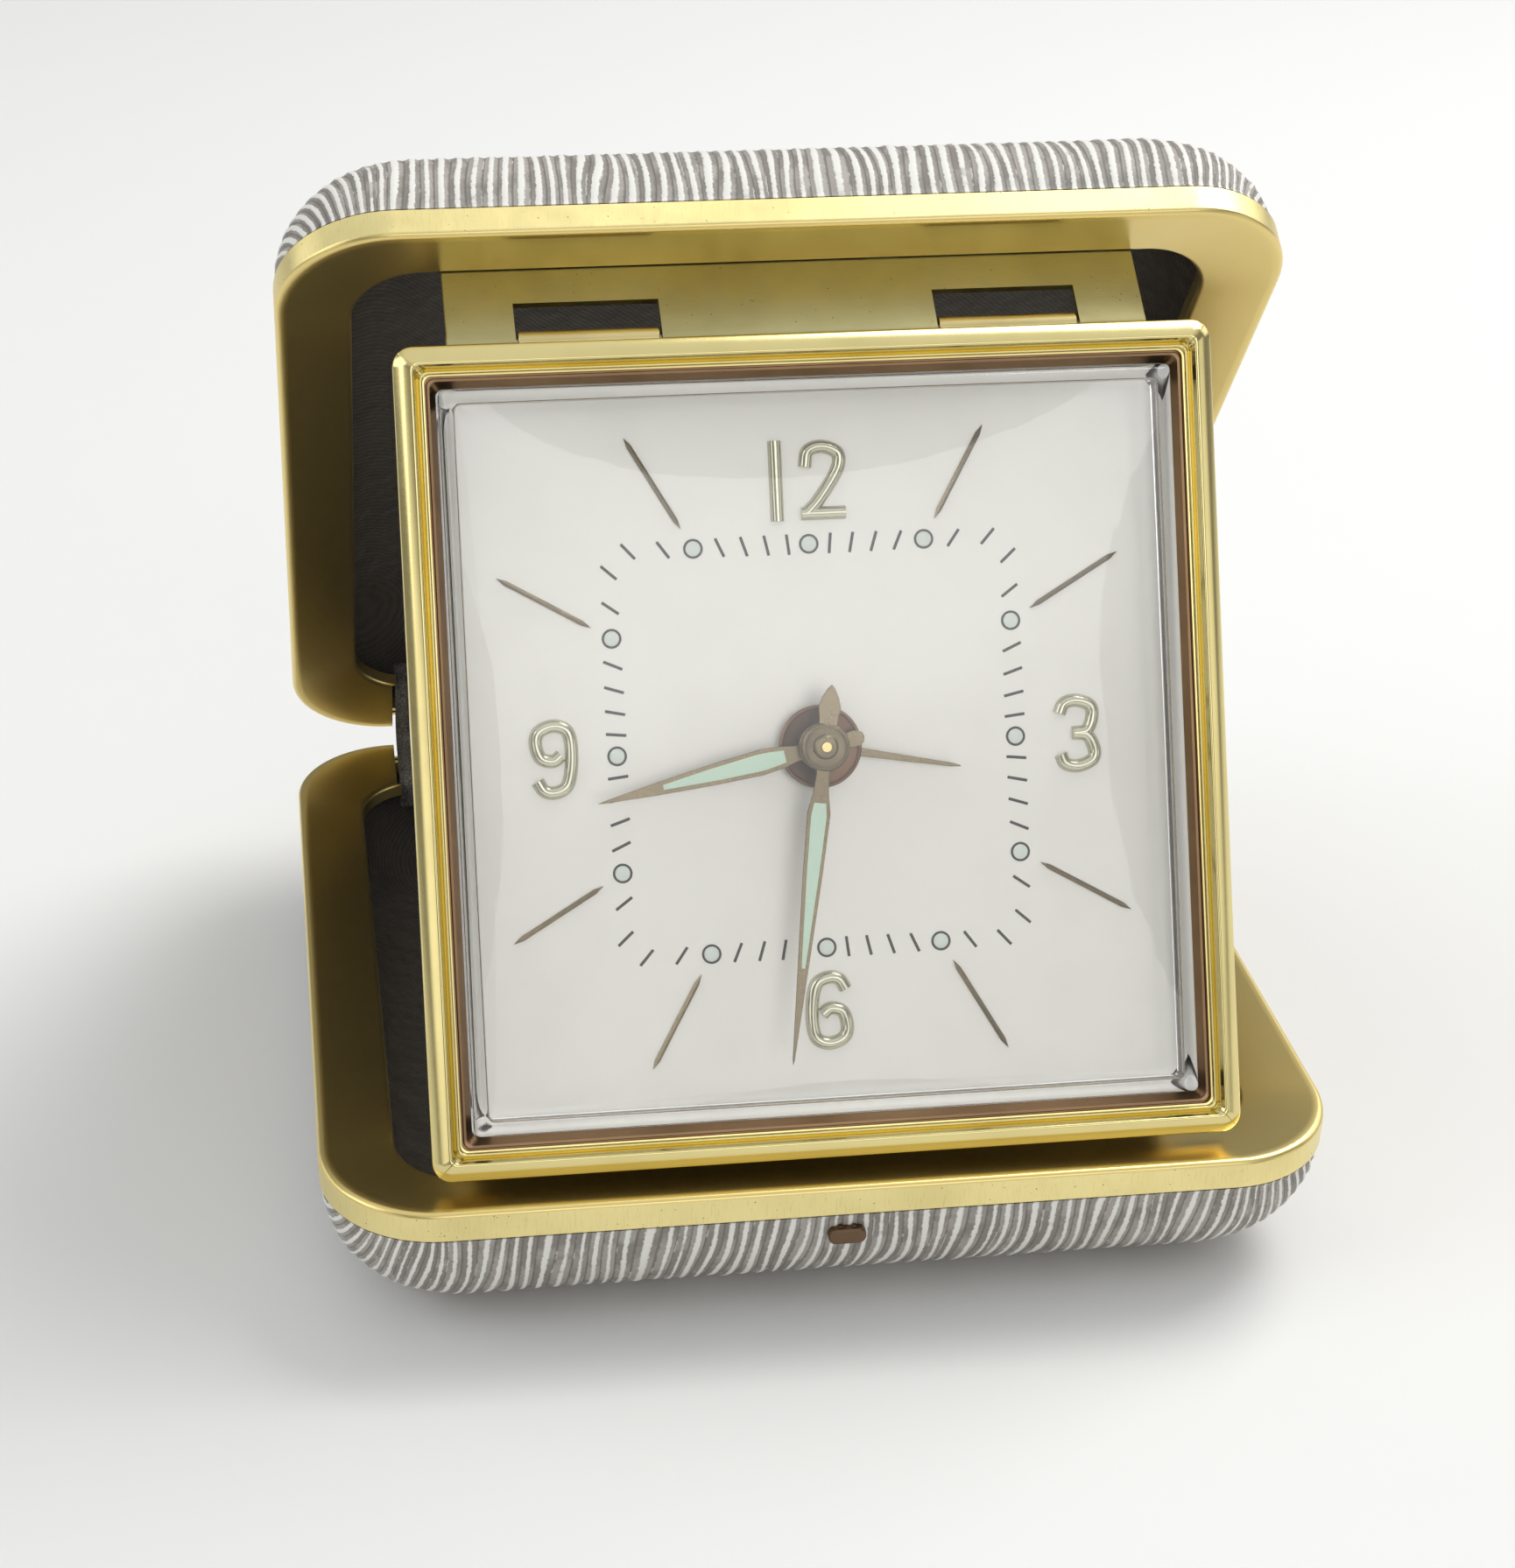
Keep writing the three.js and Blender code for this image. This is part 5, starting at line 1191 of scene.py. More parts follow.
@dataclass
class CaseHinge:
    """The hinge of the two trays: its pin, and the leatherette strip that hides it.

    Attributes:
        lower: the lower tray's frame.
        upper: the upper tray's frame.
        half_strip: half the strip's width.
        sheet: its thickness.
        run: its middle line inside one tray, as y and z, from its end to the hinge.
        crown: how far from the pin it passes.
        ripple: depth of its unevenness.
    """

    lower: Space
    upper: Space
    half_strip: float = 31.0
    sheet: float = 0.4
    run: tuple[Pair, ...] = (
        (7.55, -3.9), (7.55, -2.1), (7.35, -1.55), (6.6, -1.2), (5.2, -0.72), (3.4, -0.32), (2.2, 0.02))
    crown: float = 1.6
    ripple: float = 0.045

    def build(self, shop: Workshop) -> None:
        """Makes the pin and the strip."""
        pin = cross_rod(0.5, -23.1, 23.1, 0, 0, 0.15)
        shop.finish("hinge_pin", pin, self.lower, "steel", [("steel", STEEL)], ["case_hinge_pin"])
        self.strip(shop)

    def middle_line(self) -> list[Vector]:
        """Returns the strip's middle line in the lower tray's y and z, from one tray into the other."""
        into_lower = self.lower.matrix.inverted() @ self.upper.matrix
        first = [Vector((y, z)) for y, z in self.run]
        second = []
        for y, z in reversed(self.run):
            point = into_lower @ Vector((0, y, z))
            second.append(Vector((point.y, point.z)))
        between = (first[-1] + second[0]) / 2
        return smooth_path([*first, between.normalized() * self.crown, *second], 5)

    def strip(self, shop: Workshop) -> None:
        """Makes the leatherette strip that bends from one tray into the other."""
        line = self.middle_line()
        sides: list[list[Vector]] = [[], []]
        for index, here in enumerate(line):
            ahead = line[min(index + 1, len(line) - 1)] - line[max(index - 1, 0)]
            aside = Vector((-ahead.y, ahead.x)).normalized() * self.sheet / 2
            sides[0].append(here + aside)
            sides[1].append(here - aside)
        outline = [(point.x, point.y) for point in sides[0] + sides[1][::-1]]
        bm = along_x(prism(outline, -self.half_strip, self.half_strip))
        columns = [-self.half_strip + step for step in range(1, int(2 * self.half_strip))]
        slice_across(bm, 0, columns, lambda face: abs(face.normal.x) < 0.5)
        bm.normal_update()
        for vert in bm.verts:
            wave = noise.noise(Vector((vert.co.x * 0.35, vert.co.y * 0.1, vert.co.z * 0.1)))
            vert.co += Vector((0, self.ripple, self.ripple)) * wave
        strip = shop.shape("hinge_strip", bm, self.lower, [("leatherette", Leather())], crease=50)
        ends = [tuple(space.point(0, 2.6, -0.2)) for space in (self.lower, self.upper)]
        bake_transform(strip, self.lower.body, self.upper.body, *ends)
        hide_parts("lower_hinge_strip", "upper_hinge_strip")
        length = sum((b - a).length for a, b in zip(line, line[1:]))


@dataclass
class Catch:
    """The catch's button in the front of the lower tray, and the height of its middle."""

    lower: Space
    front: float = 79.6
    height: float = -4.4

    def build(self, shop: Workshop) -> None:
        """Makes the button with its stem and the two prongs between them."""
        z, face = self.height, self.front + 0.5
        plate = block((-1.5, self.front - 0.25, z - 0.7), (1.5, face, z + 0.7))
        corners = [edge for edge in plate.edges if abs((edge.verts[0].co - edge.verts[1].co).y) > 0.3]
        soften(plate, corners, 0.62, 6)
        rim = [edge for edge in plate.edges if all(abs(vert.co.y - face) < SAME_PLACE for vert in edge.verts)]
        soften(plate, rim, 0.22, 4)
        stem = block((-1.2, self.front - 2.0, z - 0.45), (1.2, self.front - 0.2, z + 0.45), 0.08)
        prongs = [
            block((x - 0.2, self.front - 0.3, z + 0.4), (x + 0.2, self.front + 0.12, z + 0.82), 0.08)
            for x in (-0.55, 0.55)]
        shop.finish(
            "catch_push", gathered(plate, stem, *prongs), self.lower.riding("catch"), "dark_bronze",
            [("bronze", BRONZE)], ["catch_button"])


@dataclass
class ClockHinge:
    """The plate in the lid's front edge that the clock hangs from, its pin and the clock's own leaf.

    Attributes:
        upper: the lid's frame.
        face: the clock's frame.
        half: half the plate's width.
        foot_end: how far from the case hinge the plate's foot ends.
        near: where its upright starts.
        sheet: its thickness.
        foot: height of the foot's underside.
        pin_y: distance from the case hinge to the pin.
        pin_z: height of the pin.
        roll: radius of the knuckles.
        ear: width of the plate outside each slot.
        slot: width of a slot.
        rivet_x: distance of the rivets from the middle.
    """

    upper: Space
    face: Space
    half: float = 27.85
    foot_end: float = 77.15
    near: float = 73.05
    sheet: float = 0.6
    foot: float = -3.2
    pin_y: float = 72.65
    pin_z: float = 5.45
    roll: float = 1.0
    ear: float = 5.4
    slot: float = 11.5
    rivet_x: float = 20.0

    def build(self, shop: Workshop) -> None:
        """Makes the plate, its rivets, the pin and the clock's own leaf."""
        self.plate(shop)
        for name, sign in (("left", -1), ("right", 1)):
            self.rivet(shop, name, sign * self.rivet_x)
        pin = cross_rod(0.45, -self.half, self.half, self.pin_y, self.pin_z, 0.12)
        shop.finish("clock_pin", pin, self.upper, "steel", [("steel", STEEL)], ["clock_hinge_pin"])
        self.leaf(shop)

    def plate(self, shop: Workshop) -> None:
        """Makes the plate, with a slot for each of the leaf's tabs."""
        far = self.near + self.sheet
        edge = 0.14
        leg = block((-self.half, self.near, self.foot), (self.half, far, self.pin_z + 0.55), edge)
        foot = block(
            (-self.half, self.near, self.foot), (self.half, self.foot_end, self.foot + self.sheet), edge)
        roll = cross_rod(self.roll, -self.half, self.half, self.pin_y, self.pin_z, 0.12)
        plate = carved(leg, [foot, roll], joining=True)
        cutters = [cross_rod(0.5, -self.half - 1, self.half + 1, self.pin_y, self.pin_z, 0.01)]
        for sign in (-1, 1):
            outer = self.half - self.ear
            first, second = sorted((sign * outer, sign * (outer - self.slot)))
            cutters.append(block((first, self.pin_y - 2, 2.25), (second, far + 1, self.pin_z + 2)))
        for cutter in cutters:
            plate = carved(plate, [cutter])
        shop.finish(
            "clock_hinge_plate", plate, self.upper, "pale_brass", [("plate", PLATE)], ["hinge_plate"])

    def rivet(self, shop: Workshop, name: str, x: float) -> None:
        """Makes one domed rivet of the plate's foot."""
        radius, rise, shank, end = 1.0, 0.42, 0.5, -1.55
        under = self.foot + self.sheet + 0.02
        head = arc((0, under), (radius, rise), 90, 0, 6)
        profile = [*head[:-1], (radius, under), (shank, under), (shank, end), (0, end)]
        place = (x, (self.near + self.foot_end) / 2 + 0.3)
        shop.finish(
            f"hinge_rivet_{name}", turned(profile, place, 32), self.upper, "steel", [("steel", STEEL)],
            [f"plate_rivet_{name}"])

    def leaf(self, shop: Workshop) -> None:
        """Makes the leaf on top of the clock, whose two tabs roll round the pin."""
        axis_y, axis_z, half, inside, edge = 32.5, -4.3, 22.25, 11.15, 0.1
        sheet = block((-half, 29.85, -12.3), (half, 30.35, -5.3), edge)
        tabs = []
        for sign in (-1, 1):
            first, second = sorted((sign * half, sign * inside))
            tabs.append(block((first, 29.9, -5.75), (second, axis_y, -4.95), edge))
            tabs.append(cross_rod(self.roll, first, second, axis_y, axis_z, edge))
        leaf = carved(sheet, tabs, joining=True)
        leaf = carved(leaf, [cross_rod(0.5, -24, 24, axis_y, axis_z, 0.01)])
        shop.finish(
            "clock_leaf", leaf, self.face, "pale_brass", [("rolled", ROLLED)], ["clock_hinge_leaf"])


@dataclass
class Bezel:
    """The clock's bezel and the dark inner frame in it.

    Attributes:
        space: the clock's frame.
        half: half the bezel's width.
        corner: radius of its corners in plan.
    """

    space: Space
    half: float = 32.25
    corner: float = 1.6

    @property
    def plan(self) -> RoundedPlan:
        """The square outline of the bezel."""
        return RoundedPlan(0, self.half, self.half, self.corner, 1.0, 0.6, 10)

    def build(self, shop: Workshop) -> None:
        """Makes the bezel and its inner frame."""
        self.bezel(shop)
        self.inner_frame(shop)

    def bezel(self, shop: Workshop) -> None:
        """Makes the bezel: a broad outer slope, a ridge, an inner slope, a thin crest and a land."""
        skirt, under, rebate, land = -3.1, -1.25, 0.8, 2.35
        shoulder = arc((0.28, -1.0), (0.28, 0.28), 180, 125, 4)
        ridge = arc((1.36, -0.2), (0.2, 0.2), 118, 30, 6)
        crest = arc((2.08, -0.76), (0.13, 0.16), 180, 0, 6)
        profile = [
            (0.3, skirt), (0.3, -2.05), (0.22, -2.0), (0.0, -1.92), *shoulder, (0.45, -0.46), (0.85, -0.19),
            *ridge, (1.88, -0.84), *crest, (2.24, -0.9), (land, -0.92), (land, under), (rebate, under),
            (rebate, skirt)]
        bm = self.plan.loft(profile, closed=True)
        joints = [self.mitre(sign_x, sign_y) for sign_x in (-1, 1) for sign_y in (-1, 1)]
        shop.finish(
            "bezel_frame", carved(bm, joints), self.space, "polished_brass", [("bezel", BEZEL)], ["bezel"],
            crease=40)

    def mitre(self, sign_x: int, sign_y: int) -> BMesh:
        """Returns the cutter of the fine open joint in one corner of the bezel."""
        half_gap, at = 0.035, self.half - 1.1
        cutter = block((-half_gap, -2.6, -0.95), (half_gap, 1.2, 0.4))
        return placed(cutter, (sign_x * at, sign_y * at, 0), -math.pi / 4 * sign_x * sign_y)

    def inner_frame(self, shop: Workshop) -> None:
        """Makes the dark sloping frame round the crystal."""
        top, bottom = -1.35, -2.4
        profile = [
            (2.5, top), (2.5, -0.98), (2.56, -0.9), (2.75, -0.94), (3.18, -1.72), (3.25, -1.85),
            (3.25, bottom), (0.95, bottom), (0.95, top)]
        shop.finish(
            "crystal_frame", self.plan.loft(profile, closed=True), self.space, "dark_bronze",
            [("inner", INNER)], ["inner_frame"], crease=40)


@dataclass
class Crystal:
    """The domed crystal, a moulded box with a foot round it.

    Attributes:
        space: the clock's frame.
        half: half its width.
        wall: thickness of its walls.
        sheet: thickness of its top.
        dome: how far the middle of the top is raised.
        edge: radius of the rounding outside.
        bore: radius of the rounding inside.
        foot: height of the foot's underside.
    """

    space: Space
    half: float = 28.85
    wall: float = 1.1
    sheet: float = 0.9
    dome: float = 1.3
    edge: float = 1.0
    bore: float = 0.15
    foot: float = -3.0

    def build(self, shop: Workshop) -> None:
        """Makes the crystal."""
        plan = RoundedPlan(0, self.half, self.half, 0.5, 0, 0.4, 6)
        ledge, ledge_top = -1.6, self.foot + 0.45
        outer = arc((self.edge, -self.edge), (self.edge, self.edge), 180, 90, 8)
        turn = (self.wall + self.bore, -self.sheet - self.bore)
        inner = arc(turn, (self.bore, self.bore), 180, 90, 8)
        middle = self.half - 1.5
        profile = [
            (middle, -self.sheet), *reversed(inner), (self.wall, self.foot), (ledge, self.foot),
            (ledge, ledge_top), (0, ledge_top), *outer, (middle, 0.0)]
        bm = plan.loft(profile, closed=False)
        split_caps(bm)
        pitch = 1.2
        places = [-self.half + pitch * step for step in range(1, int(2 * self.half / pitch))]
        for axis in (0, 1):
            slice_across(bm, axis, places, self.is_top)
        for vert in bm.verts:
            if vert.co.z > turn[1] - 0.01:
                across, up = (max(0.0, 1 - (co / self.half) ** 2) ** 0.8 for co in vert.co.xy)
                vert.co.z += self.dome * across * up
        shop.finish(
            "glass", bm, self.space, "clear_crystal", [("glass", Glass())], ["crystal"], crease=50,
            weighted=False)

    @staticmethod
    def is_top(face: BMFace) -> bool:
        """Tells whether a face belongs to the top or to its roundings."""
        return abs(face.normal.z) > 0.05 and face.calc_center_median().z > -2.3


@dataclass
class Housing:
    """The pressed housing of the movement.

    Attributes:
        space: the clock's frame.
        half: half its width.
        corner: radius of its corners in plan.
        sheet: its thickness.
        back: depth of its back behind the face.
        rounding: radius of the turn from the sides to the back.
        flange: depth of its front flange behind the face.
    """

    space: Space
    half: float = 29.7
    corner: float = 4.0
    sheet: float = 0.6
    back: float = 17.4
    rounding: float = 2.4
    flange: float = 3.15

    def build(self, shop: Workshop) -> None:
        """Makes the housing, with the holes that its stems and screws come through."""
        top, under, reach = -self.flange, -self.flange - 0.5, -1.5
        profile = [
            *reversed(self.turn_in(self.sheet)), (self.sheet, top), (reach, top), (reach, under),
            (0.0, under), *self.turn_in(0)]
        bm = RoundedPlan(0, self.half, self.half, self.corner, 1.0, 0.6, 12).loft(profile, closed=False)
        low, high = -self.back - 1, -self.back + self.sheet + 0.4
        holes = [disc(radius, low, high, 0.01, place, 40) for radius, place in Back.holes()]
        holes.append(block((1.85, 21.35, low), (7.15, 23.65, high)))
        holes.append(Back.regulator_slot(low, high))
        bm = carved(bm, holes)
        bm.normal_update()
        # The faces towards the movement and the crystal take the tinned metal, whose near-white colour is
        # painted light for the dial's white seen through the crystal's walls.
        number_faces(bm, 1, self.faces_the_movement)
        shop.finish(
            "housing", bm, self.space, "gilt_steel", [("housing", HOUSING), ("tinned", TINNED_AND_PAINTED_LIGHT)],
            ["rear_housing"], crease=35)

    def turn_in(self, offset: float) -> list[Pair]:
        """Returns the turn from the side to the back, some distance inside the surface."""
        radius = self.rounding - offset
        return arc((offset + radius, self.rounding - self.back), (radius, radius), 180, 270, 8)

    def faces_the_movement(self, face: BMFace) -> bool:
        """Tells whether a face of the housing looks inwards or towards the crystal."""
        centre = face.calc_center_median()
        if face.normal.z > 0.5:
            return centre.z > self.sheet - self.back - 0.05
        inwards = -(face.normal.x * centre.x + face.normal.y * centre.y)
        outside = max(abs(centre.x), abs(centre.y)) >= self.half
        return inwards > 0.2 * math.hypot(centre.x, centre.y) and not outside


def polar(distance: float, degrees: float, start: Pair = (0, 0)) -> Pair:
    """Returns the point some distance from another in a direction."""
    angle = math.radians(degrees)
    return start[0] + distance * math.cos(angle), start[1] + distance * math.sin(angle)


def rounded_line(points: Sequence[Pair], steps: int = 6) -> list[Pair]:
    """Returns the points of a smooth line through some places."""
    return [(point.x, point.y) for point in smooth_path([Vector(item) for item in points], steps)]


@dataclass
class Dial:
    """The dial with its printed track and its applied circles, bars and numerals.

    Attributes:
        space: the clock's frame.
        face: height of the dial's face.
        half: half its width.
        numeral_centre: distance of the numerals from the middle.
        half_wide: half the width of a digit.
        half_high: half its height.
        stroke: width of its strokes.
        track: half the side of the square track.
        sink: how far the applied pieces reach into the plate.
    """

    space: Space
    face: float = -4.4
    half: float = 28.85
    numeral_centre: float = 21.0
    half_wide: float = 1.38
    half_high: float = 2.62
    stroke: float = 1.08
    track: float = 16.0
    sink: float = 0.02

    @property
    def low(self) -> float:
        """Height of the underside of what is applied to the dial."""
        return self.face - self.sink

    def build(self, shop: Workshop) -> None:
        """Makes all the pieces of the dial."""
        self.plate(shop)
        self.ticks(shop)
        self.circles(shop)
        self.bars(shop)
        self.numerals(shop)

    def plate(self, shop: Workshop) -> None:
        """Makes the silvered plate with its two feet."""
        plan = RoundedPlan(0, self.half, self.half, 3.4, 1.0, 0.6, 10)
        profile = [(0, self.face - 0.4), (0, self.face - 0.08), (0.03, self.face - 0.02), (0.1, self.face)]
        bm = carved(plan.loft(profile, closed=False), [disc(2.3, self.face - 1, self.face + 1, 0.01)])
        feet = [disc(0.6, -7.3, self.face - 0.3, 0.05, place, 24) for place in ((17, 17), (-17, -17))]
        shop.finish(
            "dial_plate", gathered(bm, *feet), self.space, "silvered_dial", [("dial", DIAL)], ["dial"])

    def around(self, angle: float) -> float:
        """Returns how far out the square track is in a direction, clockwise from 12."""
        return self.track / max(abs(math.cos(angle)), abs(math.sin(angle)))

    def ticks(self, shop: Workshop) -> None:
        """Makes the printed minute lines."""
        half_wide, half_long = 0.115, 0.81
        lines = []
        for minute in range(60):
            if minute % 5 == 0:
                continue
            angle = minute / 60 * FULL_TURN
            near, far = self.around(angle) - half_long, self.around(angle) + half_long
            corners = [(-half_wide, near), (half_wide, near), (half_wide, far), (-half_wide, far)]
            turned_by = Matrix.Rotation(-angle, 2)
            outline = [tuple(turned_by @ Vector(corner)) for corner in corners]
            lines.append(prism(outline, self.low, self.face + 0.025))
        shop.finish(
            "minute_lines", gathered(*lines), self.space, "dark_steel", [("ink", INK)])

    def circles(self, shop: Workshop) -> None:
        """Makes the outlined luminous circles at the hours."""
        inner, outer, edge, high = 0.6, 0.78, 0.02, self.face + 0.05
        radius, rise = 0.61, 0.11
        ring = [
            (inner, self.low), (outer, self.low), (outer, high - edge), (outer - edge, high),
            (inner + 0.03, high), (inner, high - edge)]
        crown = arc((0, self.face), (radius, rise), 0, 90, 6)
        rings, fills = [], []
        for hour in range(12):
            angle = hour / 12 * FULL_TURN
            reach = self.around(angle)
            place = (reach * math.sin(angle), reach * math.cos(angle))
            rings.append(turned(ring, place, 36))
            fills.append(turned([(0, self.low), (radius, self.low), *crown], place, 36))
        shop.finish("hour_circles", gathered(*rings), self.space, "dark_steel", [("ink", INK)])
        shop.finish("hour_dots", gathered(*fills), self.space, "hand_gilt", [("dot", DOT)])

    def bars(self, shop: Workshop) -> None:
        """Makes the applied hour bars, pointed at both ends."""
        parts = []
        for hour in range(12):
            if hour % 3:
                bar = needle(20.3, 28.7, 0.2, 0.8, self.low, self.face + 0.32)
                parts.append(placed(bar, turn=-hour / 12 * FULL_TURN))
        shop.finish(
            "hour_bars", gathered(*parts), self.space, "hand_gilt", [("bar", BAR)], crease=20)

    def draw(self, points: Sequence[Pair], centre: Pair) -> BMesh:
        """Returns one stroke of a numeral."""
        return placed(stroke(points, self.stroke, self.low, self.face + 0.6), (*centre, 0))

    def numerals(self, shop: Workshop) -> None:
        """Makes the applied 12, 3, 6 and 9."""
        wide, high, far = self.half_wide, self.half_high, self.numeral_centre
        upper = high / 2
        edge = self.stroke / 2
        hook = rounded_line([
            (-wide, high - wide * 1.15), (-wide * 0.8, high - 0.35), (0, high), (wide * 0.85, high - 0.45),
            (wide, high - wide * 0.95), (wide * 0.62, 0.15), (-wide * 0.3, -high * 0.62), (-wide, -high)])
        upper_bowl = rounded_line([
            (-wide, high - 1.0), (-wide * 0.7, high - 0.22), (0, high), (wide * 0.8, high - 0.4),
            (wide * 0.95, upper + 0.05), (wide * 0.6, 0.22), (-wide * 0.25, 0.02)])
        lower_bowl = rounded_line([
            (-wide * 0.25, 0.02), (wide * 0.6, -0.2), (wide, -upper), (wide * 0.85, -high + 0.45), (0, -high),
            (-wide * 0.75, -high + 0.25), (-wide, -high + 1.0)])
        curl = rounded_line([
            (wide * 0.98, high - 0.95), (wide * 0.62, high - 0.18), (0, high), (-wide * 0.7, high - 0.5),
            (-wide, upper * 0.4), (-wide, -upper * 1.05), (-wide * 0.72, -high + 0.3), (0, -high),
            (wide * 0.78, -high + 0.42), (wide, -upper), (wide * 0.75, -0.15), (wide * 0.05, 0.15),
            (-wide * 0.42, -0.28)])
        one_x, two_x = -wide * 1.75, wide * 0.95
        stem = [(0, -high - edge), (0, high + edge)]
        foot = [(-wide - edge * 0.8, -high), (wide + edge * 0.6, -high)]
        twelve = [self.draw(stem, (one_x, far)), self.draw(hook, (two_x, far)), self.draw(foot, (two_x, far))]
        bowls = [self.draw(bowl, (far, 0)) for bowl in (upper_bowl, lower_bowl)]
        glyphs = {
            "twelve": gathered(*twelve),
            "three": carved(bowls[0], bowls[1:], joining=True),
            "six": self.draw(curl, (0, -far)),
            "nine": self.draw([(-x, -y) for x, y in curl], (-far, 0))}
        for name, whole in glyphs.items():
            shop.finish(
                f"numeral_{name}", whole, self.space, "hand_gilt", [("numeral", NUMERAL)], crease=45)


def needle(start: float, end: float, half: float, point: float, low: float, high: float) -> BMesh:
    """Makes a ridged bar that runs up the face.

    Args:
        start: distance of its near tip from the middle.
        end: distance of its far tip.
        half: half its width.
        point: length of the point at each end.
        low: height of its underside.
        high: height of its ridge.

    Returns:
        The bar.
    """
    bm = bmesh.new()
    middle = (low + high) / 2

    def pair(x: float, z: float) -> list[BMVert]:
        """Returns the two points of one long edge."""
        return [bm.verts.new((x, y, z)) for y in (start + point, end - point)]

    left, right, ridge = pair(-half, low), pair(half, low), pair(0, high)
    shoulders = (pair(-half, middle), pair(half, middle))
    near, far = bm.verts.new((0, start, low)), bm.verts.new((0, end, low))
    near_top, far_top = bm.verts.new((0, start, middle)), bm.verts.new((0, end, middle))
    for foot, shoulder in zip((left, right), shoulders):
        bm.faces.new((foot[0], foot[1], shoulder[1], shoulder[0]))
        bm.faces.new((shoulder[0], shoulder[1], ridge[1], ridge[0]))
        bm.faces.new((near, foot[0], shoulder[0], near_top))
        bm.faces.new((near_top, shoulder[0], ridge[0]))
        bm.faces.new((far, far_top, shoulder[1], foot[1]))
        bm.faces.new((far_top, ridge[1], shoulder[1]))
    bm.faces.new((near, left[0], left[1], far, right[1], right[0]))
    bmesh.ops.recalc_face_normals(bm, faces=bm.faces)
    return bm


@dataclass(frozen=True)
class HandShape:
    """The outline of one hand.

    Attributes:
        reading: where it points, in degrees clockwise from 12.
        blade: distances from the centre, each with the half-width there.
        tail: the same for the part behind the centre.
        fill: where the luminous filling starts and ends, or twice 0 for none.
        rim: width of the metal beside the filling.
        least: the least half-width of the filling.
    """

    reading: float
    blade: tuple[Pair, ...]
    tail: tuple[Pair, ...]
    fill: Pair = (0, 0)
    rim: float = 0.23
    least: float = 0.07

    def outline(self, rows: Sequence[Pair]) -> list[Pair]:
        """Returns both sides of rows of distances and half-widths."""
        right = [(half, distance) for distance, half in rows]
        left = [(-half, distance) for distance, half in reversed(rows) if half > 1e-3]
        return right + left

    def width_at(self, distance: float) -> float:
        """Returns the blade's half-width at a distance."""
        for (first, start), (second, end) in zip(self.blade, self.blade[1:]):
            if first <= distance <= second:
                return start + (end - start) * (distance - first) / (second - first)
        return 0.0

    def insert(self) -> list[Pair]:
        """Returns the outline of the luminous filling."""
        start, end = self.fill
        steps = 12
        rows = []
        for step in range(steps + 1):
            distance = start + (end - start) * step / steps
            rows.append((distance, max(self.width_at(distance) - self.rim, self.least)))
        return self.outline(rows)


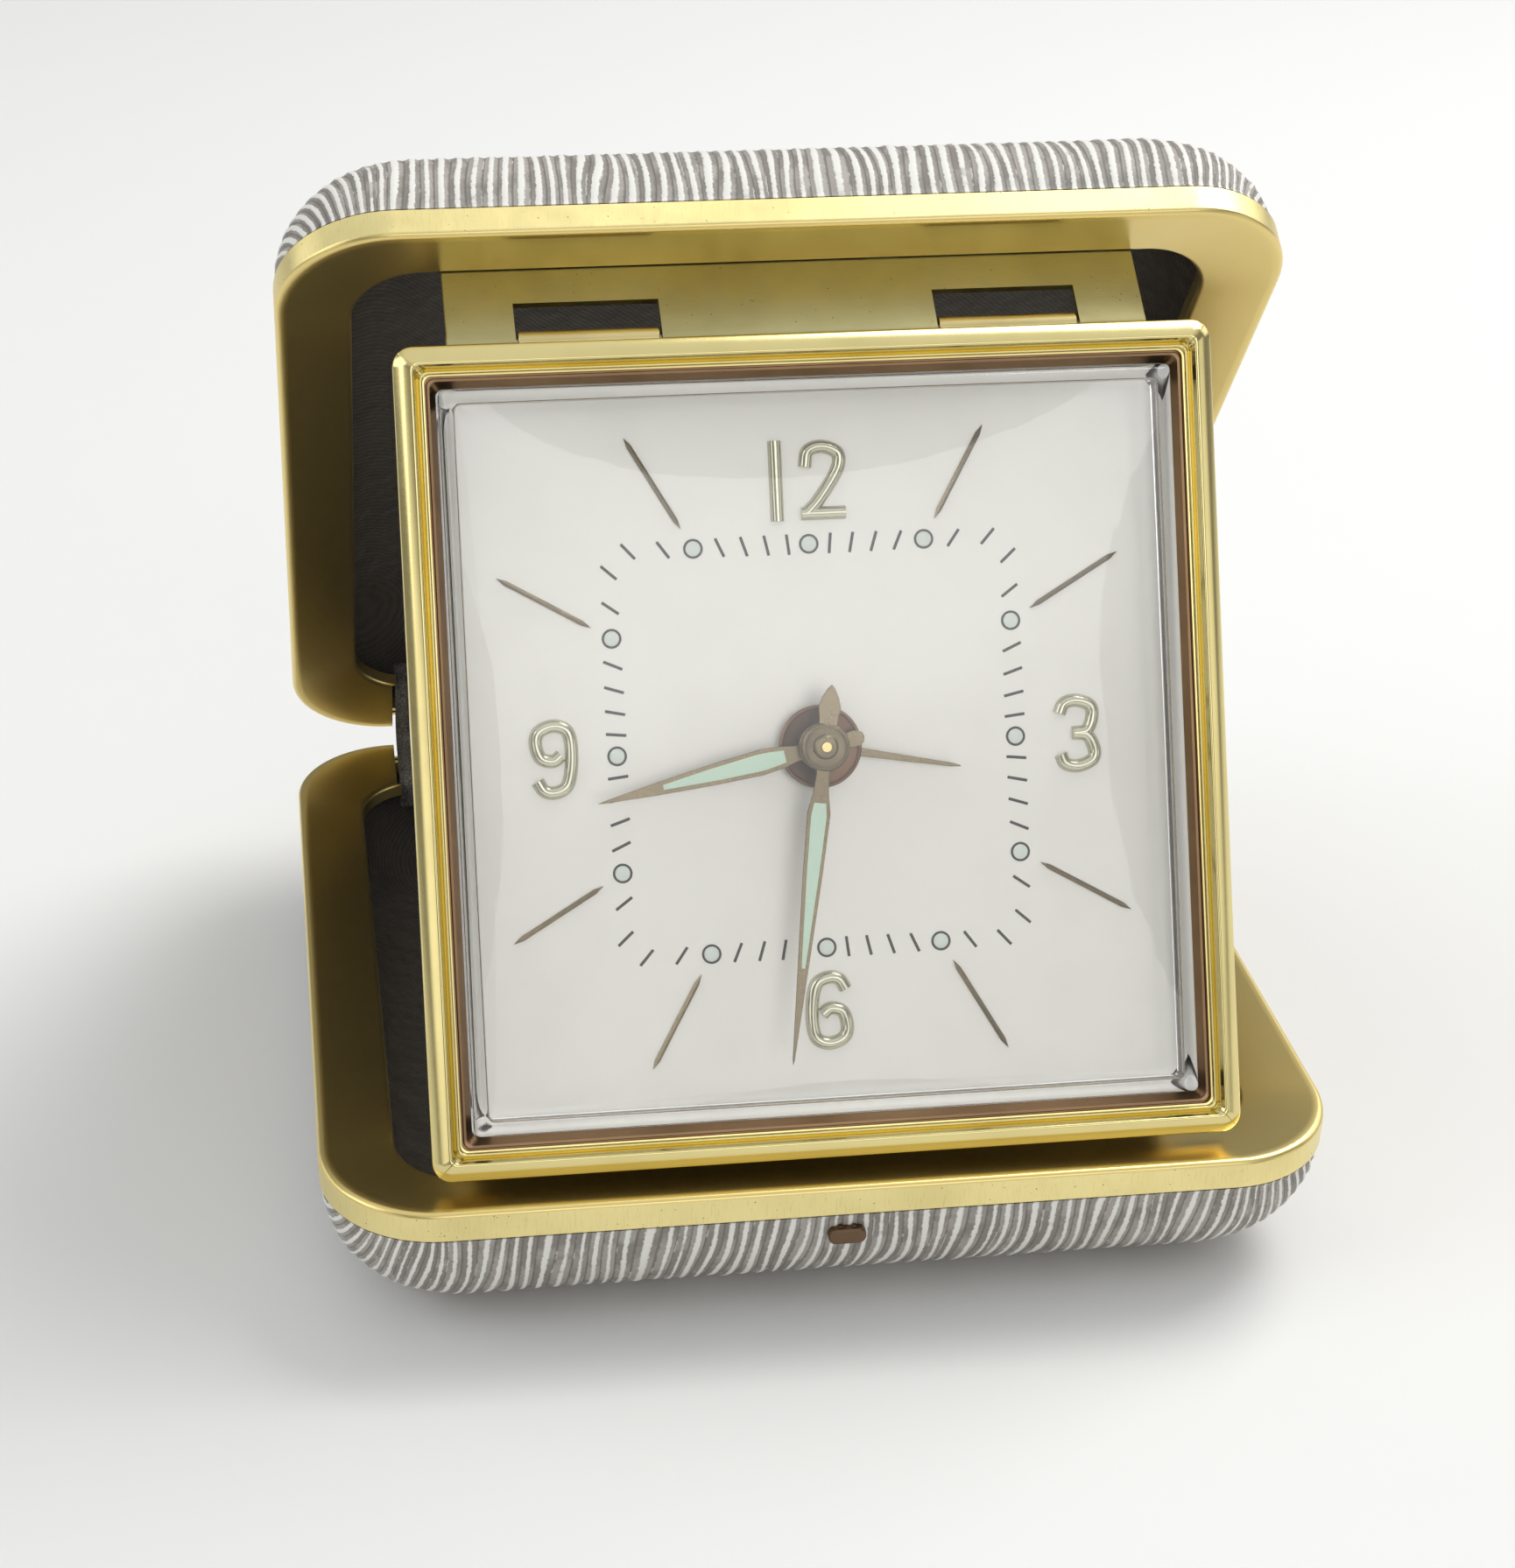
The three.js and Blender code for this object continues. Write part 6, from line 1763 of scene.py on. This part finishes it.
@dataclass
class Hands:
    """The three hands, of sheet metal, over the height of the dial's face."""

    space: Space
    dial: float = -4.4
    sheet: float = 0.25
    minute: HandShape = HandShape(
        188.5, ((0, 0.62), (2.2, 0.52), (3.6, 0.62), (5.2, 0.92), (10.0, 0.78), (15.0, 0.55), (20.0, 0.3),
                (24.6, 0.08), (25.0, 0.0)),
        ((-4.9, 0.0), (-4.6, 0.28), (-3.9, 0.66), (-3.1, 0.88), (-2.2, 0.74), (-0.5, 0.55)),
        (4.4, 17.4), 0.29)
    hour: HandShape = HandShape(
        258.7, ((0, 0.75), (2.2, 0.62), (3.2, 0.85), (5.0, 1.02), (9.0, 0.84), (14.0, 0.46), (17.9, 0.08),
                (18.3, 0.0)),
        ((-3.4, 0.0), (-3.3, 0.36), (-2.9, 0.62), (-2.4, 0.66), (-1.6, 0.5), (-0.5, 0.5)),
        (3.1, 13.0), 0.34)
    alarm: HandShape = HandShape(
        100.6, ((0, 0.34), (3.3, 0.33), (10.6, 0.16), (11.4, 0.05)), ((-3.2, 0.1), (-3.0, 0.3), (0, 0.34)))

    def build(self, shop: Workshop) -> None:
        """Makes the alarm, the hour and the minute hand."""
        self.hand(shop, "alarm", self.alarm, 0.95, (3.3, 1.75), ALARM_HUB)
        self.hand(shop, "hour", self.hour, 2.1, (1.9, 1.3), HAND)
        self.hand(shop, "minute", self.minute, 3.3, (1.9, 0.85), HAND)

    def hand(
            self, shop: Workshop, name: str, shape: HandShape, height: float, radii: Pair, hub_finish: Metal
            ) -> None:
        """Makes one hand with its hub disc and its luminous filling.

        Args:
            shop: makes the pieces.
            name: which hand it is, and the body that it rides on.
            shape: its outline.
            height: how far over the dial it is.
            radii: radius of its disc, and of the pipe that it sits on.
            hub_finish: the disc's surface.
        """
        low = self.dial + height
        high = low + self.sheet
        space = self.space.riding(name)
        turn = -math.radians(shape.reading)
        rows = [*shape.tail[:-1], *shape.blade[1:]]
        blade = placed(prism(shape.outline(rows), low + 0.02, high - 0.02, 0.05), turn=turn)
        shop.finish(f"{name}_blade", blade, space, "hand_gilt", [("hand", HAND)], [f"{name}_hand"])
        hub = turned(self.hub_profile(low, high, *radii), steps=64)
        if name == "minute":
            hub = gathered(hub, turned(self.collar_profile(high)))
        shop.finish(f"{name}_hub", hub, space, "hand_gilt", [(f"{name}_hub", hub_finish)])
        if shape.fill[1]:
            fill = placed(prism(shape.insert(), high - 0.06, high + 0.035, 0.05), turn=turn)
            shop.finish(f"{name}_lume", fill, space, "hand_gilt", [("lume", LUME)])

    @staticmethod
    def hub_profile(low: float, high: float, hub: float, bore: float) -> list[Pair]:
        """Returns the profile of a hub disc with its raised ring."""
        return [
            (bore + 0.05, low), (hub - 0.05, low), (hub, low + 0.06), (hub, high - 0.02),
            (hub - 0.1, high + 0.08), (hub - 0.22, high + 0.1), (hub - 0.42, high + 0.02),
            (bore + 0.2, high + 0.05), (bore + 0.05, high)]

    @staticmethod
    def collar_profile(high: float) -> list[Pair]:
        """Returns the profile of the collar that holds the minute hand on its arbor."""
        bore, radius, under = 0.43, 0.95, high + 0.06
        return [(bore, under), (radius, under), (radius, high + 0.16), (0.8, high + 0.3), (bore, high + 0.34)]


def ridged(profile: Sequence[Pair], ridges: int, depth: float, at: Pair, across: int = 8) -> BMesh:
    """Turns a profile whose rim is knurled.

    Args:
        profile: the radius and height of each ring; the ends are capped.
        ridges: number of ridges.
        depth: how deep they are at the largest radius.
        at: where the axis stands.
        across: points to each ridge.

    Returns:
        The knurled solid.
    """
    widest = max(radius for radius, _ in profile)

    def place(station: int, number: int) -> Vector:
        """Returns a point of one ring."""
        radius, height = profile[station]
        angle = number / (ridges * across) * FULL_TURN
        wave = 0.5 + 0.5 * math.cos(ridges * angle)
        share = max(0.0, (radius / widest - 0.8) / 0.2)
        radius -= depth * share * (1 - wave) ** 1.5
        return Vector((at[0] + radius * math.cos(angle), at[1] + radius * math.sin(angle), height))

    return skin(ridges * across, len(profile), place, closed=False)


@dataclass
class Back:
    """What stands on the back: winding keys, setting knobs, the stop button and the screws.

    Attributes:
        space: the clock's frame.
        surface: height of the housing's back.
        gap: distance of the knobs and keys from it.
        time_key: place of the time's winding key, seen from the front as all the places.
        alarm_key: place of the alarm's.
        time_knob: place of the knob that sets the hands.
        alarm_knob: place of the knob that sets the alarm.
        balance: place of the balance's axis.
        stop: place of the alarm stop.
        screws: places of the case screws.
    """

    space: Space
    surface: float = -17.4
    gap: float = 0.3
    time_key: Pair = polar(8.4, 215)
    alarm_key: Pair = (-5.5, 12.5)
    time_knob: Pair = (8.796, -6.747)
    alarm_knob: Pair = polar(6.3, 140)
    balance: Pair = (16.033, -8.869)
    stop: Pair = (3.0, 22.5)
    screws: tuple[Pair, ...] = ((19.5, 19.5), (-19.5, 19.5), (-19.5, -19.5), (19.5, -19.5))

    @property
    def near(self) -> float:
        """Height of the side of the knobs and keys that is next to the housing."""
        return self.surface - self.gap

    @classmethod
    def holes(cls) -> list[tuple[float, Pair]]:
        """Returns the radius and the place of the round holes of the housing."""
        arbors = [(1.05, place) for place in (cls.time_key, cls.alarm_key)]
        stems = [(0.75, place) for place in (cls.time_knob, cls.alarm_knob)]
        return arbors + stems + [(0.85, place) for place in cls.screws]

    @classmethod
    def regulator_slot(cls, low: float, high: float) -> BMesh:
        """Returns the cutter of the regulator's slot, between two heights."""
        tip = polar(7, 60, cls.balance)
        half_x, half_y = 0.9, 3.294
        return placed(block((-half_x, -half_y, low), (half_x, half_y, high)), (*tip, 0), math.pi / 3)

    def build(self, shop: Workshop) -> None:
        """Makes all the pieces of the back."""
        self.key(shop, "time", self.time_key)
        self.key(shop, "alarm", self.alarm_key)
        self.knob(shop, "time_set", self.time_knob, 8, (-7.4, -6.5))
        self.knob(shop, "alarm_set", self.alarm_knob, 10, (-5.48, -5.04))
        self.stop_button(shop)
        for number, place in enumerate(self.screws, 1):
            self.screw(shop, number, place)

    def key(self, shop: Workshop, name: str, place: Pair) -> None:
        """Makes a winding key: two round ears on a turned hub."""
        near, radius, low, high, lift = self.near, 1.65, -0.5, 0.7, 0.2
        right = arc((3.35, 1.45), (radius, radius), -90, 90, 20)
        left = arc((-3.35, 1.45), (radius, radius), 90, 270, 20)
        outline = [(1.2, -0.2), *right, (1.0, 2.45), (0.0, 2.1), (-1.0, 2.45), *left, (-1.2, -0.2)]
        wing = prism([(x, y + lift) for x, y in outline], low, high, 0.22, 3)
        under = [edge for edge in wing.edges if all(abs(vert.co.z - low) < 1e-5 for vert in edge.verts)]
        soften(wing, under, 0.2, 3)
        placed(wing, (0, 0, -0.1))
        stand = Matrix(((1, 0, 0), (0, 0, 1), (0, -1, 0)))
        bmesh.ops.transform(wing, matrix=stand.to_4x4(), verts=wing.verts)
        placed(wing, (0, 0, near - 0.1))
        hub = turned([
            (0.98, near), (1.6, near), (1.7, near - 0.12), (1.7, near - 0.7), (1.5, near - 0.85),
            (1.5, near - 1.0), (1.66, near - 1.15), (1.6, near - 1.9), (1.25, near - 2.7),
            (0.98, near - 2.8)])
        whole = placed(carved(hub, [wing], joining=True), (*place, 0))
        shop.finish(
            f"{name}_winding_key", whole, self.space.riding(f"{name}_winding"), "gilt_knobs",
            [("knob", KNOB)], [f"{name}_key"])

    def knob(self, shop: Workshop, name: str, place: Pair, teeth: int, pinion: Pair) -> None:
        """Makes a knurled setting knob with its stem and the pinion at the stem's end.

        Args:
            shop: makes the pieces.
            name: the record's name of the knob, and the body that it rides on.
            place: where its stem is, seen from the front.
            teeth: teeth of the pinion.
            pinion: lower and upper height of the pinion.
        """
        low, high = pinion
        near, far = self.near, self.near - 2.6
        radius, edge, root, tip = 2.8, 0.35, 0.9, 1.62
        rounding = arc((radius - edge, far + edge), (edge, edge), 0, -90, 5)
        profile = [
            (1.2, near), (2.55, near), (2.78, near - 0.2), (radius, near - 0.5), *rounding,
            (1.9, far + 0.02), (1.5, far + 0.16), (0.7, far + 0.2)]
        grip = ridged(profile, 24, 0.26, place)
        stem = disc(0.6, near - 1, high, 0.05, place, 24)
        wheel = ridged([(root, low), (tip, low), (tip, high), (root, high)], teeth, 0.5, place)
        shop.finish(
            f"{name}_turner", gathered(grip, stem, wheel), self.space.riding(name), "gilt_knobs",
            [("knob", KNOB)], [f"{name}_knob"], crease=50)

    def stop_button(self, shop: Workshop) -> None:
        """Makes the ribbed sliding button that stops the alarm."""
        x, y = self.stop
        near, far = self.near, self.near - 1.6
        half_x, half_y, half_cut, pitch = 1.5, 1.2, 0.13, 0.62
        button = block((x - half_x, y - half_y, far), (x + half_x, y + half_y, near), 0.22)
        cuts = []
        for number in (-1.5, -0.5, 0.5, 1.5):
            middle = x + number * pitch
            cuts.append(block((middle - half_cut, y - 2, far - 1), (middle + half_cut, y + 2, far + 0.28)))
        stem = disc(0.6, near - 0.6, -16.4, 0.05, self.stop, 24)
        shop.finish(
            "stop_slider", gathered(carved(button, cuts), stem), self.space.riding("alarm_stop"),
            "gilt_knobs", [("knob", KNOB)], ["alarm_stop"])

    def screw(self, shop: Workshop, number: int, place: Pair) -> None:
        """Makes a case screw with a slotted, slightly domed head."""
        near, shank, end = self.surface - 0.15, 0.7, -13.6
        far = near - 0.6
        dome = [(x, far + z) for x, z in ((1.5, 0.2), (1.44, 0.08), (1.3, 0.0), (0.7, -0.06), (0, -0.08))]
        profile = [(0, end), (shank, end), (shank, near), (1.42, near), (1.5, near - 0.06), *dome]
        groove = block((-2, -0.17, far - 1), (2, 0.17, far + 0.3))
        placed(groove, (*place, 0), math.radians(17 * number))
        shop.finish(
            f"back_screw_{number}", carved(turned(profile, place, 40), [groove]), self.space, "steel",
            [("steel", STEEL)], [f"case_screw_{number}"])


@dataclass
class Movement:
    """The works behind the dial and the catch's inside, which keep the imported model's meshes."""

    space: Space
    surfaces: tuple[tuple[str, Metal, str], ...] = (
        ("rolled", ROLLED, "front_plate back_plate"),
        ("wheel", WHEEL, "hour_wheel alarm_wheel minute_wheel centre_wheel third_wheel fourth_wheel "
                         "escape_wheel time_barrel alarm_barrel strike_wheel balance_wheel"),
        ("steel", STEEL, "cannon_pinion time_winding_arbor alarm_winding_arbor pallet_lever alarm_hammer "
                         "regulator catch_spring catch_keeper"),
        ("blued", BLUED, "time_mainspring alarm_mainspring hairspring"))

    def build(self, shop: Workshop, nodes: dict[str, Object]) -> None:
        """Gives every node that is still shown its material."""
        for coat, finish, names in self.surfaces:
            for name in names.split():
                mesh = nodes[name].data
                mesh.materials.clear()
                mesh.materials.append(shop.coat(coat, finish, self.space))


@dataclass(frozen=True)
class Window:
    """A bright opening in the walls of the room.

    Attributes:
        turn: its direction in degrees, clockwise from the back.
        half: half its width in degrees.
        low: height of its sill, as a share of the way up.
        high: height of its top.
        strength: how bright it is.
    """

    turn: float
    half: float
    low: float
    high: float
    strength: float

    def share(self, g: Graph, turn: Socket, z: Socket) -> Socket:
        """Returns the light that comes through it."""
        off = g.math("COSINE", g.minus(turn, math.radians(self.turn)))
        soft_turn, soft_rise = 9, 0.06
        inside, outside = (math.cos(math.radians(self.half + soft)) for soft in (-soft_turn, soft_turn))
        across = g.between(off, outside, inside, 0, self.strength)
        over_sill = g.between(z, self.low - soft_rise, self.low + soft_rise)
        under_top = g.between(z, self.high - soft_rise, self.high + soft_rise, 1, 0)
        return g.times(across, g.times(over_sill, under_top))


@dataclass
class Studio:
    """The floor, the sky, the lamps and the camera.

    Attributes:
        floor: the floor's colour.
        eye: where the camera is, in millimetres.
        turn: its turn about the upright, in degrees.
        tilt: its tilt from straight down.
        roll: its turn about its own axis.
        lens: its focal length.
        shift: how far the picture is shifted, in widths.
        size: the picture's width and height.
        horizon: light of the lower sky.
        zenith: light of the sky overhead.
        windows: the bright openings.
        aim: what the lamps are turned to, in metres.
    """

    floor: Colour = (0.80, 0.80, 0.79)
    eye: tuple[float, float, float] = (-41.25, -219.40, 149.97)
    turn: float = -7.09
    tilt: float = 61.32
    roll: float = 0.445
    lens: float = 66.87
    shift: Pair = (0.0921, 0.0)
    size: tuple[int, int] = (1730, 1791)
    horizon: float = 0.24
    zenith: float = 0.85
    windows: tuple[Window, ...] = (
        Window(58, 26, 0.18, 0.60, 1.2), Window(-62, 22, 0.12, 0.50, 0.9), Window(168, 30, 0.42, 0.62, 0.9),
        Window(-128, 12, 0.10, 0.34, 1.1), Window(118, 14, 0.06, 0.30, 0.9))
    aim: tuple[float, float, float] = (0, 0, 0.03)

    def build(self) -> None:
        """Sets the whole stage up."""
        self.ground()
        self.sky()
        self.lamps()
        self.camera()

    def ground(self) -> None:
        """Lays the pale floor."""
        bm = bmesh.new()
        bmesh.ops.create_grid(bm, x_segments=8, y_segments=8, size=6)
        mesh = bpy.data.meshes.new("floor")
        bm.to_mesh(mesh)
        bm.free()
        floor = bpy.data.objects.new("floor", mesh)
        bpy.context.scene.collection.objects.link(floor)
        paint = Paint(self.floor, tuple(c * 0.985 for c in self.floor), 0.6, 0.0, 0.2, 0.0, mottle=0.2)
        mesh.materials.append(paint.material("paper"))

    def sky(self) -> None:
        """Lights the scene from overhead and through the windows of a dim room."""
        world = bpy.data.worlds.new("studio")
        bpy.context.scene.world = world
        world.use_nodes = True
        g = Graph.of_world(world)
        x, y, z = g.split(g.node("ShaderNodeTexCoord").outputs["Generated"])
        turn = g.math("ARCTAN2", x, y)
        light = g.between(z, 0.55, 0.9, self.horizon, self.zenith)
        for window in self.windows:
            light = g.plus(light, window.share(g, turn, z))
        tint = g.blend(g.between(z, 0.1, 0.8), (1.0, 0.985, 0.96), (0.97, 0.985, 1.0))
        shade = g.node("ShaderNodeBackground", Color=tint, Strength=light)
        g.surface(shade.outputs[0])

    def lamps(self) -> None:
        """Hangs the soft lamps."""
        self.lamp("key", (0.36, 0.24, 0.62), 0.40, 3.1, (1.0, 0.985, 0.96))
        self.lamp("fill", (-0.62, -0.10, 0.42), 0.45, 1.0, (0.96, 0.98, 1.0))
        self.lamp("front", (0.12, -0.75, 0.34), 0.46, 0.6, (1.0, 0.99, 0.97))

    def lamp(self, name: str, place: Sequence[float], size: float, power: float, colour: Colour) -> None:
        """Hangs one square lamp that points at the clock."""
        light = bpy.data.lights.new(name, "AREA")
        light.shape = "SQUARE"
        light.size = size
        light.energy = power
        light.color = colour
        made = bpy.data.objects.new(name, light)
        made.location = place
        ahead = Vector(self.aim) - Vector(place)
        made.rotation_euler = ahead.to_track_quat("-Z", "Y").to_euler()
        bpy.context.scene.collection.objects.link(made)

    def camera(self) -> None:
        """Puts the camera where the photograph was taken from."""
        data = bpy.data.cameras.new("camera")
        data.sensor_width = 36
        data.lens = self.lens
        data.shift_x, data.shift_y = self.shift
        data.clip_start = 0.01
        data.clip_end = 50
        made = bpy.data.objects.new("camera", data)
        made.location = Vector(self.eye) * MM
        steps = ((self.turn, "Z"), (self.tilt, "X"), (self.roll, "Z"))
        first, second, third = (Matrix.Rotation(math.radians(angle), 4, axis) for angle, axis in steps)
        made.rotation_euler = (first @ second @ third).to_euler()
        scene = bpy.context.scene
        scene.collection.objects.link(made)
        scene.camera = made
        scene.render.resolution_x, scene.render.resolution_y = self.size
        scene.view_settings.view_transform = "Standard"


def main() -> None:
    """Builds the clock, its stage and its camera."""
    logging.basicConfig(level=logging.INFO, format="%(message)s")
    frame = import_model()
    spaces = Stand().spaces(frame["joints"])
    shop = Workshop(spaces)
    Studio().build()
    for side in Side:
        Tray(side, spaces[side.value]).build(shop)
    CaseHinge(spaces["lower"], spaces["upper"]).build(shop)
    Catch(spaces["lower"]).build(shop)
    ClockHinge(spaces["upper"], spaces["face"]).build(shop)
    Bezel(spaces["face"]).build(shop)
    Crystal(spaces["face"]).build(shop)
    Housing(spaces["face"]).build(shop)
    Dial(spaces["face"]).build(shop)
    Hands(spaces["face"]).build(shop)
    Back(spaces["face"]).build(shop)
    Movement(spaces["face"]).build(shop, frame["nodes"])


if __name__ == "__main__":
    main()
